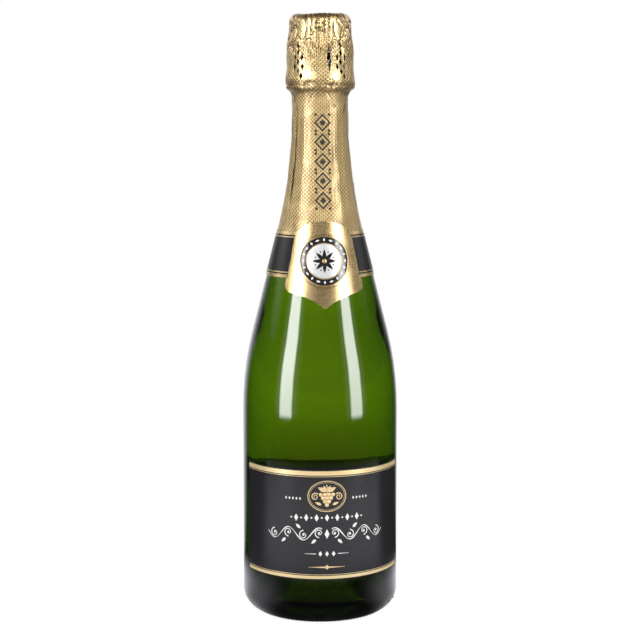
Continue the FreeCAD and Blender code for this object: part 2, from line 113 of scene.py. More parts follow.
# %% [markdown]
# `Paint` is a material with its graph. `node` makes any node: its settings are set first, because
# they decide which sockets it has, and then its inputs are linked or set. `set` feeds the
# Principled shader. Places are read in Object coordinates, so a pattern stays on its piece when
# the piece moves. A Mix node has sockets of the same name for every kind of data, so the ones
# for colours go by number.

# %% A material
WHITE = (1, 1, 1, 1)
MIX_LOW, MIX_HIGH, MIX_RESULT = 6, 7, 2


class Paint:
    """A material, with its node graph written as formulas."""

    def __init__(self, name):
        self.material = bpy.data.materials.new(name)
        self.material.use_nodes = True
        self.tree = self.material.node_tree
        self.shader = self.tree.nodes["Principled BSDF"]

    def node(self, kind, inputs=None, output=0, **settings):
        """Any node: inputs by name or number, and the output that is wanted."""
        made = self.tree.nodes.new(kind)
        for name, setting in settings.items():
            setattr(made, name, setting)
        for slot, item in (inputs or {}).items():
            self.plug(made.inputs[slot], item)
        return Socket(self, made.outputs[output])

    def plug(self, slot, item):
        """Links a Socket to an input, or sets the input to a number or colour."""
        if isinstance(item, Socket):
            self.tree.links.new(item.output, slot)
        elif item is not None:
            slot.default_value = item

    def set(self, **inputs):
        """Inputs of the main shader by name, with _ for each space."""
        for name, item in inputs.items():
            self.plug(self.shader.inputs[name.replace("_", " ")], item)

    def finish(self, slot, shader):
        """Links a shader to the material's output."""
        self.plug(self.tree.nodes["Material Output"].inputs[slot], shader)

    def place(self):
        """Object coordinates in millimetres, as one vector."""
        spot = self.node("ShaderNodeTexCoord", output="Object")
        return self.node("ShaderNodeVectorMath", {"Vector": spot, "Scale": 1 / MM},
                         operation="SCALE")

    def split(self, vector):
        """The three parts of a vector."""
        made = self.tree.nodes.new("ShaderNodeSeparateXYZ")
        self.plug(made.inputs[0], vector)
        return [Socket(self, made.outputs[i]) for i in range(3)]

    def noise(self, vector, size, detail=2.0):
        """Noise whose lumps are about `size` millimetres across."""
        inputs = {"Vector": vector, "Scale": 1 / size, "Detail": detail}
        return self.node("ShaderNodeTexNoise", inputs)

    def mix(self, low, high, factor):
        """Colour between two colours."""
        inputs = {0: factor, MIX_LOW: low, MIX_HIGH: high}
        return self.node("ShaderNodeMix", inputs, MIX_RESULT, data_type="RGBA")

    def bump(self, height, strength, distance):
        """Feeds the normal from a height, with the distance in millimetres."""
        inputs = {"Height": height, "Strength": strength, "Distance": distance * MM}
        self.set(Normal=self.node("ShaderNodeBump", inputs))

    def rays(self, kind):
        """1 for rays of a kind, such as Is Camera Ray."""
        return self.node("ShaderNodeLightPath", output=kind)

    def glow(self, strength, colour=WHITE):
        """Shader that gives light of its own."""
        return self.node("ShaderNodeEmission", {"Color": colour, "Strength": strength})

    def blend(self, factor, low, high):
        """Shader between two shaders."""
        return self.node("ShaderNodeMixShader", {0: factor, 1: low, 2: high})


# %% [markdown]
# ## The camera
#
# The bottle is seen from just under a metre away, with the eye as high as the foil on its neck.
# A level camera with a shifted lens would keep the glass exactly upright, but the views from other
# sides keep that shift too and would cut the bottle off. So the camera is tilted down to the
# bottle's middle instead. The Standard view transform keeps white paper white.

# %% Camera
VIEW_TURN = math.radians(-5)
VIEW_TILT = math.radians(7.19)
VIEW_DISTANCE, VIEW_HEIGHT = 0.8957, 0.275
LENS, SENSOR = 91.5, 36


def around(distance, turn, height):
    """Point at a distance from the axis; turn 0 is in front, and positive goes to the right."""
    return Vector((distance * math.sin(turn), -distance * math.cos(turn), height))


lens = bpy.data.cameras.new("camera")
lens.lens = LENS
lens.sensor_width = SENSOR
camera = bpy.data.objects.new("camera", lens)
camera.location = around(VIEW_DISTANCE, VIEW_TURN, VIEW_HEIGHT)
camera.rotation_euler = (math.radians(90) - VIEW_TILT, 0, VIEW_TURN)
bpy.context.collection.objects.link(camera)
bpy.context.scene.camera = camera
bpy.context.scene.view_settings.view_transform = "Standard"
print("camera at", [round(v, 3) for v in camera.location])

# %% [markdown]
# ## The room
#
# Glass and foil show the room around them more than a colour of their own. A studio gives them a
# white background, pale walls behind and above that draw a light rim, and darkness in front. The
# walls could be modelled, but the world can hold them all: a Light Path node says which kind of
# ray asks, and the ray's direction picks the wall. The camera sees plain white, reflections see
# the walls, and rays that have passed through the glass see a dim room.

# %% World
class Backdrop(Paint):
    """The world's node graph, written the same way as a material's."""

    def __init__(self, owner):
        self.tree = owner.node_tree
        self.shader = self.tree.nodes["Background"]


FRONT_DARK, FAR_WALL, UPPER_WALL, CEILING = 0.02, 0.7, 2.4, 0.42
DIM_LOW, DIM_HIGH = 0.07, 0.02
AMBIENT = 0.45
world = bpy.data.worlds.new("studio")
world.use_nodes = True
bpy.context.scene.world = world
sky = Backdrop(world)
_, to_back, to_top = sky.split(sky.node("ShaderNodeTexCoord", output="Generated"))
far_wall = to_back.ramp(0.64, 1.04, FRONT_DARK, FAR_WALL)
wall_band = to_top.ramp(0.16, 0.30) * to_top.ramp(0.42, 0.62, 1.0, 0.0)
upper_wall = to_back.ramp(-0.2, 0.5, 0.0, UPPER_WALL) * wall_band
ceiling = to_top.ramp(0.41, 0.55, 0.0, CEILING) * to_top.ramp(0.65, 0.90, 1.0, 0.4)
mirrored = far_wall.either(upper_wall).either(ceiling)
through = to_top.ramp(0.0, 0.3, DIM_LOW, DIM_HIGH)
bent = sky.rays("Is Transmission Ray")
glossy = sky.rays("Is Glossy Ray")
seen = sky.rays("Is Camera Ray")
level = bent * through + (1 - bent) * (glossy * mirrored + (1 - glossy) * AMBIENT)
sky.set(Color=WHITE, Strength=seen + (1 - seen) * level)
print("world nodes:", len(sky.tree.nodes))

# %% [markdown]
# ## Two tall panels
#
# The long highlights down the glass are mirror images of two tall soft boxes. Area lamps could
# give them, but their edges are equally hard all round. A panel with a material of its own can
# have a bright core, a faint halo and a soft foot. The panels are for reflections alone, so every
# other kind of ray passes them by.

# %% Panels
STRIP_REACH, STRIP_LOW, STRIP_HIGH = 0.66, 0.006, 0.85
STRIP_CORE, STRIP_HALO = 0.42, 0.055
STRIP_UV = ((-1, 0), (1, 0), (1, 1), (-1, 1))


def strip_light(name, strength):
    """Material of a panel: u goes across it from -1 to 1, and v up it from 0 to 1."""
    paint = Paint(name)
    across, up, _ = paint.split(paint.node("ShaderNodeTexCoord", output="UV"))
    core = abs(across).ramp(STRIP_CORE * 0.8, STRIP_CORE * 1.2, 1.0, 0.0)
    halo = abs(across).ramp(STRIP_CORE, 1.0, STRIP_HALO, 0.0)
    rise = up.ramp(0.0, 0.03) * up.ramp(0.0, 0.3, 0.8, 1.0)
    paint.finish("Surface", paint.glow(core.either(halo) * rise * strength))
    return paint


def strip(name, low_turn, high_turn, width, strength):
    """Tall panel that leans from one turn at its foot to another at its top."""
    form = bmesh.new()
    layer = form.loops.layers.uv.new("panel")
    half = width / STRIP_CORE / 2
    rows = []
    for turn, height in ((low_turn, STRIP_LOW), (high_turn, STRIP_HIGH)):
        middle = around(STRIP_REACH, math.radians(turn), height)
        side = around(half, math.radians(turn + 90), 0)
        rows.append((middle - side, middle + side))
    foot, top = rows
    face = form.faces.new([form.verts.new(p) for p in (*foot, *reversed(top))])
    for loop, uv in zip(face.loops, STRIP_UV):
        loop[layer].uv = uv
    mesh = bpy.data.meshes.new(name)
    form.to_mesh(mesh)
    form.free()
    mesh.materials.append(strip_light(name, strength).material)
    made = bpy.data.objects.new(name, mesh)
    for kind in ("camera", "diffuse", "transmission", "shadow"):
        setattr(made, "visible_" + kind, False)
    bpy.context.collection.objects.link(made)
    print(f"{name}: {width} m wide at turns {low_turn} to {high_turn}")


strip("strip_left", -56, -46, 0.22, 8.8)
strip("strip_right", 49.5, 38.5, 0.21, 7.8)

# %% [markdown]
# ## Light on the papers
#
# Paper and print need light that falls on them from the front. A lamp there would also show as a
# bright patch in the glass and the foil, so these two area lamps are switched off for reflections
# and for rays through the glass. They light only what is matt.

# %% Lamps
LAMP_TARGET = Vector((0, 0, 0.15))


def lamp(name, spot, size, power):
    """Rectangular lamp that faces the bottle and makes no reflections."""
    data = bpy.data.lights.new(name, "AREA")
    data.shape = "RECTANGLE"
    data.size, data.size_y = size
    data.energy = power
    made = bpy.data.objects.new(name, data)
    made.location = spot
    made.rotation_euler = (LAMP_TARGET - spot).to_track_quat("-Z", "Y").to_euler()
    made.visible_glossy = False
    made.visible_transmission = False
    bpy.context.collection.objects.link(made)
    print(f"{name}: {power} W")


lamp("soft_front", Vector((-0.5, -1.3, 1.2)), (1.2, 1.0), 22)
lamp("soft_right", Vector((1.2, -0.6, 1.0)), (0.8, 0.8), 9)

# %% [markdown]
# ## The floor
#
# The bottle stands on a pale table, which shows in three ways: straight to the camera, mirrored in
# the glass, and bent through the wine. One large face is enough, because its material again asks
# for the kind of ray. To the camera it is nearly as white as the background and keeps a soft
# shadow.

# %% Floor
FLOOR_HALF = 40.0
floor_form = bmesh.new()
bmesh.ops.create_grid(floor_form, x_segments=1, y_segments=1, size=FLOOR_HALF)
floor_mesh = bpy.data.meshes.new("floor")
floor_form.to_mesh(floor_mesh)
floor_form.free()
floor = bpy.data.objects.new("floor", floor_mesh)
bpy.context.collection.objects.link(floor)
print("floor", [round(v) for v in floor.dimensions], "m")

# %% [markdown]
# The other two looks are zones in millimetres around the bottle. `reach` is the distance from its
# axis and `heading` runs from -1 in front to 1 behind. Through the glass the table glows, more
# the farther away it is, apart from the bottle's own shadow behind it, which makes the green deep
# and dark just above the label and at the heel. Mirrored, it is lit in front, beside and behind.

# %% Floor material
FLOOR_DARK, FLOOR_LIGHT = (0.80, 0.80, 0.80, 1), (0.84, 0.84, 0.84, 1)
FLOOR_WHITE, FLOOR_GLOW = 0.85, 1.10
TABLE_TINT = (0.94, 0.93, 1.0, 1)
SHADOW_END, NEAR_GLOW, FRONT_GLOW, BACK_GLOW = 403, 0.4, 0.95, 0.9
table = Paint("pale_floor")
spot = table.place()
across, back, _ = table.split(spot)


def reach_over(stretch):
    """Distance from the bottle's axis, with the way to the sides stretched."""
    return ((across * stretch) ** 2 + back * back) ** 0.5


reach = reach_over(1.0)
heading = back / reach
near = reach.ramp(85, 120, 0.0, NEAR_GLOW) * reach.ramp(280, 310, 1.0, 0.0)
shadow = heading.ramp(0.25, 0.5) * reach_over(1.09).below(SHADOW_END)
far = reach_over(1.9).ramp(300, 680, 0.35, 0.9) * (1 - shadow) * reach.ramp(70, 130)
through = far.either(near)
front = back.ramp(-60, 20, 1.0, 0.0) * reach.ramp(360, 500, 1.0, 0.0) * reach.ramp(110, 175)
side_tone = heading.ramp(-0.8, -0.2, 0.03, 0.5) + heading.ramp(-0.1, 0.5, 0.0, 0.25)
beside = reach.ramp(80, 145, 1.0, 0.0) * side_tone
behind = heading.ramp(0.72, 1.0, 0.01, BACK_GLOW)
mirrored = (front * FRONT_GLOW).either(beside).either(behind)
table.set(Roughness=0.6, Base_Color=table.mix(FLOOR_DARK, FLOOR_LIGHT, table.noise(spot, 40)))
matt = Socket(table, table.shader.outputs[0])
lit = table.blend(FLOOR_WHITE, matt, table.glow(FLOOR_GLOW))
bent = table.rays("Is Transmission Ray")
glossy = table.rays("Is Glossy Ray") * (1 - bent)
lit = table.blend(bent, lit, table.glow(through))
lit = table.blend(glossy, lit, table.glow(mirrored, TABLE_TINT))
table.finish("Surface", lit)
floor_mesh.materials.append(table.material)
print("floor material nodes:", len(table.tree.nodes))

# %% [markdown]
# ## Outlines and lathed forms
#
# Bottles and foils are round, so each starts as an outline of (radius, height) points in the X-Z
# plane. A third number bends the run to the next point into an arc of that radius: above zero to
# the left, below zero to the right. A Screw modifier could turn the outline, but
# `bmesh.ops.spin` gives the mesh at once, and `use_merge` closes the last step on the first.

# %% Outlines
ARC_STEP = math.radians(3)


def spread(points):
    """The outline as plain points, with its arcs spread out."""
    line = []
    for start, finish in zip(points, points[1:]):
        a, b = Vector(start[:2]), Vector(finish[:2])
        line.append(a)
        if len(start) == 3:
            radius, side = abs(start[2]), math.copysign(1, start[2])
            chord = b - a
            left = Vector((-chord.y, chord.x)).normalized() * side
            rise = math.sqrt(max(radius ** 2 - chord.length_squared / 4, 0))
            centre = (a + b) / 2 + left * rise
            whole = 2 * math.asin(min(1, chord.length / 2 / radius))
            count = max(2, math.ceil(whole / ARC_STEP))
            arm = a - centre
            for i in range(1, count):
                angle = side * whole * i / count
                cos, sin = math.cos(angle), math.sin(angle)
                turned = Vector((arm.x * cos - arm.y * sin, arm.x * sin + arm.y * cos))
                line.append(centre + turned)
    line.append(Vector(points[-1][:2]))
    return line


def even(line, step):
    """The same line with points at even steps along it."""
    found = [line[0]]
    left = step
    for a, b in zip(line, line[1:]):
        length = (b - a).length
        at = left
        while at < length:
            found.append(a.lerp(b, at / length))
            at += step
        left = at - length
    if (found[-1] - line[-1]).length > step / 2:
        found.append(line[-1])
    else:
        found[-1] = line[-1]
    return found


print("a quarter circle is spread into", len(spread([(1, 0, 1), (0, 1)])), "points")

# %% [markdown]
# After a spin, the points on the axis are merged and the normals are recalculated, because the
# turning direction decides whether the skin faces in or out.

# %% Lathe and piece
MERGE = 1e-7


def lathe(line, steps):
    """Turns an outline in millimetres around the axis."""
    form = bmesh.new()
    verts = [form.verts.new((p.x * MM, 0, p.y * MM)) for p in line]
    edges = [form.edges.new(pair) for pair in zip(verts, verts[1:])]
    bmesh.ops.spin(form, geom=verts + edges, cent=(0, 0, 0), axis=(0, 0, 1),
                   angle=math.tau, steps=steps, use_merge=True)
    bmesh.ops.remove_doubles(form, verts=form.verts[:], dist=MERGE)
    bmesh.ops.recalc_face_normals(form, faces=form.faces[:])
    return form


def piece(name, form, paint, body, node=None, sharp=40):
    """Makes an object from a bmesh, shaded smooth but for edges sharper than an angle."""
    mesh = bpy.data.meshes.new(name)
    form.to_mesh(mesh)
    form.free()
    mesh.shade_smooth()
    mesh.set_sharp_from_angle(angle=math.radians(sharp))
    mesh.materials.append(paint.material)
    made = bpy.data.objects.new(name, mesh)
    bpy.context.collection.objects.link(made)
    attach(made, body)
    if node:
        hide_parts(node)
    print(f"{name}: {len(mesh.polygons)} faces")
    return made


# %% [markdown]
# ## The glass outline
#
# The bottle is blown in a mould: a straight body, an arc for the shoulder, a cone, and a second
# arc that sweeps up into the neck. The foot is pushed up into a punt, and the finish has a bead
# for the wire and a lip. The inside runs parallel to the outside at the depth of the wall. The
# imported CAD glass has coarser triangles, so the same outline is drawn again with finer arcs.

# %% Sizes of the glass
BODY, WALL, BODY_TOP, HEEL = 43.0, 4.9, 113.0, 11.0
FOOT_OUT, FOOT_IN, FOOT_ROUND = 32.0, 29.5, 0.9
TILT = math.radians(14.3)
SHOULDER, SWEEP = 176.0, 235.0
NECK, NECK_LENGTH = 15.1, 20.6
SHOULDER_END = (BODY - SHOULDER * (1 - math.cos(TILT)), BODY_TOP + SHOULDER * math.sin(TILT))
CONE_R = NECK + SWEEP * (1 - math.cos(TILT))
CONE_TOP = SHOULDER_END[1] + (SHOULDER_END[0] - CONE_R) / math.tan(TILT)
SWEEP_TOP = CONE_TOP + SWEEP * math.sin(TILT)
RING = SWEEP_TOP + NECK_LENGTH
LIP = RING + 13.4
THROAT, BEAD, WAIST, LIP_OUT = 14.4, 16.3, 13.6, 14.3
BEAD_UNDER, BEAD_OVER, LIP_ROUND = 1.0, 2.5, 1.5
BORE, BORE_DEPTH, BORE_FLARE = 9.05, 26.0, 1.0
PUNT_CENTRE, PUNT_CROWN, PUNT_FLOOR, TROUGH = 20.0, 12.0, 18.0, 5.0
PUNT_TURN = (math.atan2(PUNT_CENTRE, FOOT_IN)
             + math.asin(PUNT_CROWN / math.hypot(FOOT_IN, PUNT_CENTRE)))
print(f"neck from {SWEEP_TOP:.1f} mm, wire ring at {RING:.1f} mm, lip at {LIP:.1f} mm")


# %% Glass outline
def off_cone(offset, down=0.0):
    """Point off the glass cone's upper end, and further down the cone."""
    return (CONE_R + offset * math.cos(TILT) + down * math.sin(TILT),
            CONE_TOP + offset * math.sin(TILT) - down * math.cos(TILT))


def inside(skin):
    """Inside of the glass at a depth from its outside, from the punt up to the bore."""
    side = BODY - skin
    crown = PUNT_FLOOR + skin - WALL
    trough = TROUGH - skin + WALL
    hollow = side - trough
    sin, cos = math.sin(PUNT_TURN), math.cos(PUNT_TURN)
    dip = PUNT_CENTRE + (crown + trough - hollow * sin) / cos
    return [
        (0, PUNT_CENTRE + crown, -crown),
        (crown * sin, PUNT_CENTRE + crown * cos),
        (hollow - trough * sin, dip - trough * cos, trough),
        (side, dip),
        (side, BODY_TOP, SHOULDER - skin),
        (SHOULDER_END[0] - skin * math.cos(TILT), SHOULDER_END[1] - skin * math.sin(TILT)),
        (*off_cone(-skin), -(SWEEP + skin)),
        (NECK - skin, SWEEP_TOP),
    ]


outer_glass = spread([
    (0, PUNT_CENTRE + PUNT_CROWN, -PUNT_CROWN),
    (PUNT_CROWN * math.sin(PUNT_TURN), PUNT_CENTRE + PUNT_CROWN * math.cos(PUNT_TURN)),
    (FOOT_IN, 0.6, FOOT_ROUND),
    (FOOT_IN + FOOT_ROUND, 0),
    (FOOT_OUT, 0, HEEL),
    (BODY, HEEL),
    (BODY, BODY_TOP, SHOULDER),
    SHOULDER_END,
    (CONE_R, CONE_TOP, -SWEEP),
    (NECK, SWEEP_TOP),
    (NECK, RING - 4.2),
    (THROAT, RING - 3.5),
    (THROAT, RING),
    (BEAD - BEAD_UNDER, RING, BEAD_UNDER),
    (BEAD, RING + BEAD_UNDER),
    (BEAD, RING + 5.5, BEAD_OVER),
    (BEAD - BEAD_OVER, RING + 5.5 + BEAD_OVER),
    (WAIST, RING + 8.0),
    (WAIST, RING + 9.0),
    (LIP_OUT, RING + 9.7),
    (LIP_OUT, LIP - LIP_ROUND, LIP_ROUND),
    (LIP_OUT - LIP_ROUND, LIP),
])
inner_glass = spread(inside(WALL) + [(BORE, LIP - BORE_DEPTH), (BORE, LIP - BORE_FLARE),
                                     (BORE + BORE_FLARE, LIP)])
print(f"outline: {len(outer_glass)} points outside, {len(inner_glass)} inside")

# %% [markdown]
# ## Glass and wine
#
# The green of the bottle is in the glass itself, so it deepens where light travels far: along the
# edges and at the heel. A coloured surface can't do that. Here the surface is clear and a Volume
# Absorption node takes light away with depth. Towards the foot the surface is also dimmed, as
# painted shade. The mould leaves faint waves, which are a bump.

# %% Glass
GLASS_IOR, GLASS_COLOUR, GLASS_DENSITY = 1.52, (0.654, 0.776, 0.01, 1), 570
GLASS_LOW_SHADE = (0.80, 0.80, 0.80, 1)
GLASS_STEPS = 240


def clear(name, ior, colour, density, coat):
    """Clear material that takes its colour from how deep light travels in it."""
    paint = Paint(name)
    paint.set(Transmission_Weight=1.0, IOR=ior, Roughness=0.0, Base_Color=WHITE, Coat_Weight=coat)
    fog = paint.node("ShaderNodeVolumeAbsorption", {"Color": colour, "Density": density})
    paint.finish("Volume", fog)
    return paint


green_glass = clear("green_glass", GLASS_IOR, GLASS_COLOUR, GLASS_DENSITY, 1.0)
spot = green_glass.place()
height = green_glass.split(spot)[2]
# Painted shade: from 145 mm down to 92 mm the glass passes less light, darker towards the foot.
green_glass.set(Base_Color=green_glass.mix(GLASS_LOW_SHADE, WHITE, height.ramp(92, 145)))
green_glass.bump(green_glass.noise(spot, 26, 1.0), 0.25, 0.5)
piece("bottle_glass", lathe(outer_glass + inner_glass[::-1], GLASS_STEPS), green_glass,
      "bottle", "glass_bottle", sharp=30)

# %% [markdown]
# Light bends at three surfaces: from air to glass, from glass to wine, and back. If wine and glass
# only touched, a gap or a shared face would spoil the bend. So the wine is a hair larger than the
# hollow: each ray meets the wine before it leaves the glass, and the two bends multiply to the
# right one.

# %% Wine
WINE_IOR, WINE_COLOUR, WINE_DENSITY = 1.34, (0.80, 0.76, 0.40, 1), 3
FILL = LIP - 70
WINE_OVERLAP, WINE_EDGE = 0.06, 0.4
wine_line = [p for p in spread(inside(WALL - WINE_OVERLAP)) if p.y < FILL]
wine_line += [Vector((wine_line[-1].x - WINE_EDGE, FILL)), Vector((0, FILL))]
pale_wine = clear("pale_wine", WINE_IOR, WINE_COLOUR, WINE_DENSITY, 0.0)
piece("bottle_wine", lathe(wine_line, GLASS_STEPS), pale_wine, "bottle", "wine")

# %% [markdown]
# ## How foil crumples
#
# A thin foil is wrapped over cork and cage and pressed down by hand, so no two are alike. A cloth
# simulation could fold it, but not in a way that can be steered. A relief can: every fold is a
# small formula of the turn and the height, and a lathed sheet is pushed in and out by their sum.
# Two shapes are enough, a rounded hump and a sharp crease.

# %% Humps and creases
def hump(offset, width):
    """Rounded bump, 1 in the middle and 0 from the width on."""
    return max(0.0, 1 - (offset / width) ** 2) ** 2


def crease(offset, width):
    """Sharp-bottomed valley, 1 in the middle and 0 from the width on."""
    return max(0.0, 1 - abs(offset) / width) ** 1.5


def apart(turn, other):
    """Difference of two turns in degrees, the short way round."""
    return (turn - other + 180) % 360 - 180


def turn_of(point):
    """Turn of a point around the axis in degrees, 0 in front."""
    return math.degrees(math.atan2(point.x, -point.y))


print(f"halfway out, a hump is {hump(1, 2):.2f} and a crease {crease(1, 2):.2f}")

# %% [markdown]
# Pleats gather round the rim, where the foil goes from the flat top down the side: there is too
# much sheet for the smaller circle. Each has its own width, length, depth and slant, drawn from a
# seeded generator, so that every run gives the same foil.

# %% Pleats
PLEATS, PLEAT_LEAD, PLEAT_FADE = 22, 6, 5
chance = random.Random(11)
pleats = []
for i in range(PLEATS):
    middle = i * 360 / PLEATS + chance.uniform(-5, 5) - 180
    width = chance.uniform(2.5, 4.5)
    length = chance.uniform(5, 15)
    deep = chance.uniform(0.35, 0.85)
    slant = chance.uniform(-0.5, 0.5)
    pleats.append((middle, width, length, deep, slant))


def pleat_depth(turn, along):
    """Depth of the rim's pleats, by the turn and the way down from the rim."""
    depth = 0.0
    for middle, width, length, deep, slant in pleats:
        if -PLEAT_LEAD < along < length:
            fade = min(1, (along + PLEAT_LEAD) / PLEAT_FADE) * (1 - max(0, along) / length)
            depth += deep * fade * crease(apart(turn, middle + slant * along), width)
    return depth


print(f"{PLEATS} pleats, the deepest {max(p[3] for p in pleats):.2f} mm")

# %% [markdown]
# The slanting creases are listed by their two ends, in (turn, height), with a width in degrees and
# a depth. The folds run down the neck, where the foil is lapped: a turn, a width and a height,
# below zero for a groove.

# %% Creases and folds
CREASES = [((7, 287.5), (31, 279), 5, 0.45), ((-14, 288), (-30, 281), 4, 0.25),
           ((70, 288), (52, 276), 5, 0.35), ((-75, 287), (-60, 277), 6, 0.35),
           ((120, 288), (140, 278), 5, 0.4), ((-130, 288), (-112, 277), 5, 0.4),
           ((12, 322), (6, 313), 3, 0.5), ((-22, 322), (-12, 311), 3, 0.4),
           ((40, 321), (30, 312), 4, 0.4), ((-52, 320), (-60, 309), 4, 0.45),
           ((95, 321), (80, 310), 4, 0.5), ((150, 320), (165, 309), 4, 0.5),
           ((-140, 321), (-150, 308), 4, 0.5), ((-100, 318), (-90, 306), 4, 0.4)]
FOLDS = [(16, 5, 0.25), (29, 3.5, 0.35), (46, 6, 0.30), (-38, 8, 0.25), (-61, 5, -0.40),
         (-80, 7, 0.3), (71, 5, -0.40), (90, 8, 0.3), (125, 7, 0.35), (148, 5, -0.35),
         (170, 8, 0.3), (-120, 7, 0.35)]
FOLD_TOP, FOLD_FADE = 283, 12


def creased(turn, height):
    """Depth of the slanting creases at a place on the foil."""
    depth = 0.0
    for start, finish, width, deep in CREASES:
        share = (height - start[1]) / (finish[1] - start[1])
        if 0 <= share <= 1:
            middle = start[0] + (finish[0] - start[0]) * share
            depth += deep * crease(apart(turn, middle), width)
    return depth


def folded(turn, height):
    """Height of the folds down the neck."""
    if height >= FOLD_TOP:
        return 0.0
    rise = sum(tall * hump(apart(turn, middle), width) for middle, width, tall in FOLDS)
    return rise * min(1, (FOLD_TOP - height) / FOLD_FADE)


print(f"{len(CREASES)} creases and {len(FOLDS)} folds")

# %% [markdown]
# What lies under the foil shows through it: a ridge over each of the cage's legs, and a lump over
# the folded wire loop. The rest is noise. Cells of a Voronoi pattern with sunken borders look
# like flat facets that were pressed by fingers. Under the collar the foil is pulled flat.

# %% Relief
LEG_TURNS = (-135, -45, 45, 135)
LOOP_TURN = 8
TORN_LEVEL, FACET_LEVEL, BELT_LEVEL = 290.5, 316, 290
LEG_LEVEL, LOOP_LEVEL, LOOP_HOLE = 309, 292.5, 291
COLLAR_TOP, COLLAR_FADE, COLLAR_PRESS = 219.0, 12, 0.17
HOOD_TOP, HOOD_CROWN, HOOD_CORNER = 329.16, 16.78, 4.6
CROWN_LEVEL, CROWN_CALM, HOOD_PROUD = 327, 6, 0.35


def wrinkled(point):
    """Soft wrinkles of two sizes, rough ones at the tear line, and valleys between facets."""
    x, y, z = point
    soft = 0.50 * noise.noise(point / 13) + 0.20 * noise.noise(point / 5)
    torn = 0.7 * noise.noise(Vector((x / 5, y / 5, z / 3))) * hump(z - TORN_LEVEL, 6)
    far = noise.voronoi(Vector((x / 6, y / 6, z / 9)))[0]
    firm = hump(z - FACET_LEVEL, 16) + 0.5 * hump(z - BELT_LEVEL, 7)
    return soft + torn - 0.60 * firm * max(0.0, 1 - (far[1] - far[0]) / 0.3) ** 2


def over_cage(turn, height):
    """Ridges over the cage's legs and the lump over the wire loop."""
    legs = sum(hump(apart(turn, leg), 11) for leg in LEG_TURNS)
    out = 0.30 * legs * hump(height - LEG_LEVEL, 18)
    out += 0.55 * hump(apart(turn, LOOP_TURN), 9) * hump(height - LOOP_LEVEL, 7)
    return out - 0.40 * hump(apart(turn, LOOP_TURN), 3) * hump(height - LOOP_HOLE, 3)


def relief(point):
    """How far the foil stands out at a point in millimetres."""
    turn, height = turn_of(point), point.z
    out = wrinkled(point) + over_cage(turn, height) - creased(turn, height) + folded(turn, height)
    free = min(1, max(0, (height - COLLAR_TOP) / COLLAR_FADE))
    return out * free - COLLAR_PRESS * (1 - free)


def hood_relief(point):
    """The same for the hood, with the pleats of its rim, and calm in the middle of its top."""
    radius = math.hypot(point.x, point.y)
    on_top = max(0.0, HOOD_CROWN - radius) * (point.z > CROWN_LEVEL)
    along = max(0.0, HOOD_TOP - point.z) - on_top
    out = (relief(point) - pleat_depth(turn_of(point), along)) * min(1, radius / CROWN_CALM)
    return min(out, HOOD_PROUD)


def crumple(form, height_at):
    """Pushes a lathed foil out and in along its normals, and keeps the height for the material."""
    form.normal_update()
    layer = form.verts.layers.float.new("relief")
    moves = []
    for vert in form.verts:
        out = height_at(vert.co / MM)
        vert[layer] = out
        moves.append((vert, vert.normal * out * MM))
    for vert, move in moves:
        vert.co += move


loop_spot = around(HOOD_CROWN, math.radians(LOOP_TURN), LOOP_LEVEL)
print(f"over the wire loop the foil stands out by {relief(loop_spot):.2f} mm")

# %% [markdown]
# ## Vents in the hood
#
# Groups of small diamonds are punched through the hood so that air leaves when it is pulled
# tight, and a slit gapes beside them. An alpha mask would leave flat, shadowless holes, so they
# are cut. The cone operator with four sides and no taper makes each cutter, a diamond prism,
# which is then turned to point outward.

# %% Cutters
CUT_DEPTH = 2.2
VENT_TURNS = (-44, 33, 140, -143)
VENT_LEVEL, VENT_COLUMN, VENT_RADIUS = 303.0, 7.4, 18.3
VENT_WIDE, VENT_TALL = 0.98, 1.95
VENT_PLACES = [(-1, -2.5), (-1, 2.5), (0, -5.0), (0, 0), (0, 5.0), (1, -2.5), (1, 2.5),
               (0.9, -7.4), (-0.2, 8.8)]
SLIT_TURN, SLIT_LEVEL, SLIT_WIDE, SLIT_TALL, SLIT_RADIUS = 10.5, 305.2, 1.25, 8.4, 18.2


def prism(form, turn, height, half_width, half_height, radius):
    """Diamond prism that points outward."""
    made = bmesh.ops.create_cone(form, cap_ends=True, segments=4, radius1=1, radius2=1, depth=2)
    for vert in made["verts"]:
        side, up, out = vert.co
        angle = math.radians(turn) - side * half_width / radius
        vert.co = around(radius + out * CUT_DEPTH, angle, height + up * half_height) * MM


cutter = bmesh.new()
for turn in VENT_TURNS:
    for column, up in VENT_PLACES:
        prism(cutter, turn + column * VENT_COLUMN + chance.uniform(-0.8, 0.8), VENT_LEVEL + up,
              VENT_WIDE + chance.uniform(-0.12, 0.12), VENT_TALL + chance.uniform(-0.2, 0.2),
              VENT_RADIUS)
prism(cutter, SLIT_TURN, SLIT_LEVEL, SLIT_WIDE, SLIT_TALL, SLIT_RADIUS)
bmesh.ops.recalc_face_normals(cutter, faces=cutter.faces[:])
print(f"cutters: {len(cutter.faces) // 6}")

# %% [markdown]
# A Boolean modifier cuts, and its result is kept as the mesh, so that no cutter stays in the
# scene. On an open sheet it also leaves the cutter's walls as pockets behind the holes; they are
# found by their small radius and deleted. A Solidify modifier then gives the sheet its thickness.

# %% Cutting tools
def cut_away(target, form):
    """Cuts a bmesh out of an object and keeps the result as its mesh."""
    mesh = bpy.data.meshes.new("cutter")
    form.to_mesh(mesh)
    form.free()
    tool = bpy.data.objects.new("cutter", mesh)
    bpy.context.collection.objects.link(tool)
    step = target.modifiers.new("cut", "BOOLEAN")
    step.object = tool
    step.solver = "EXACT"
    bpy.context.view_layer.update()
    evaluated = target.evaluated_get(bpy.context.evaluated_depsgraph_get())
    result = bpy.data.meshes.new_from_object(evaluated)
    target.modifiers.remove(step)
    result.name = target.data.name + "_cut"
    target.data = result
    bpy.data.objects.remove(tool)


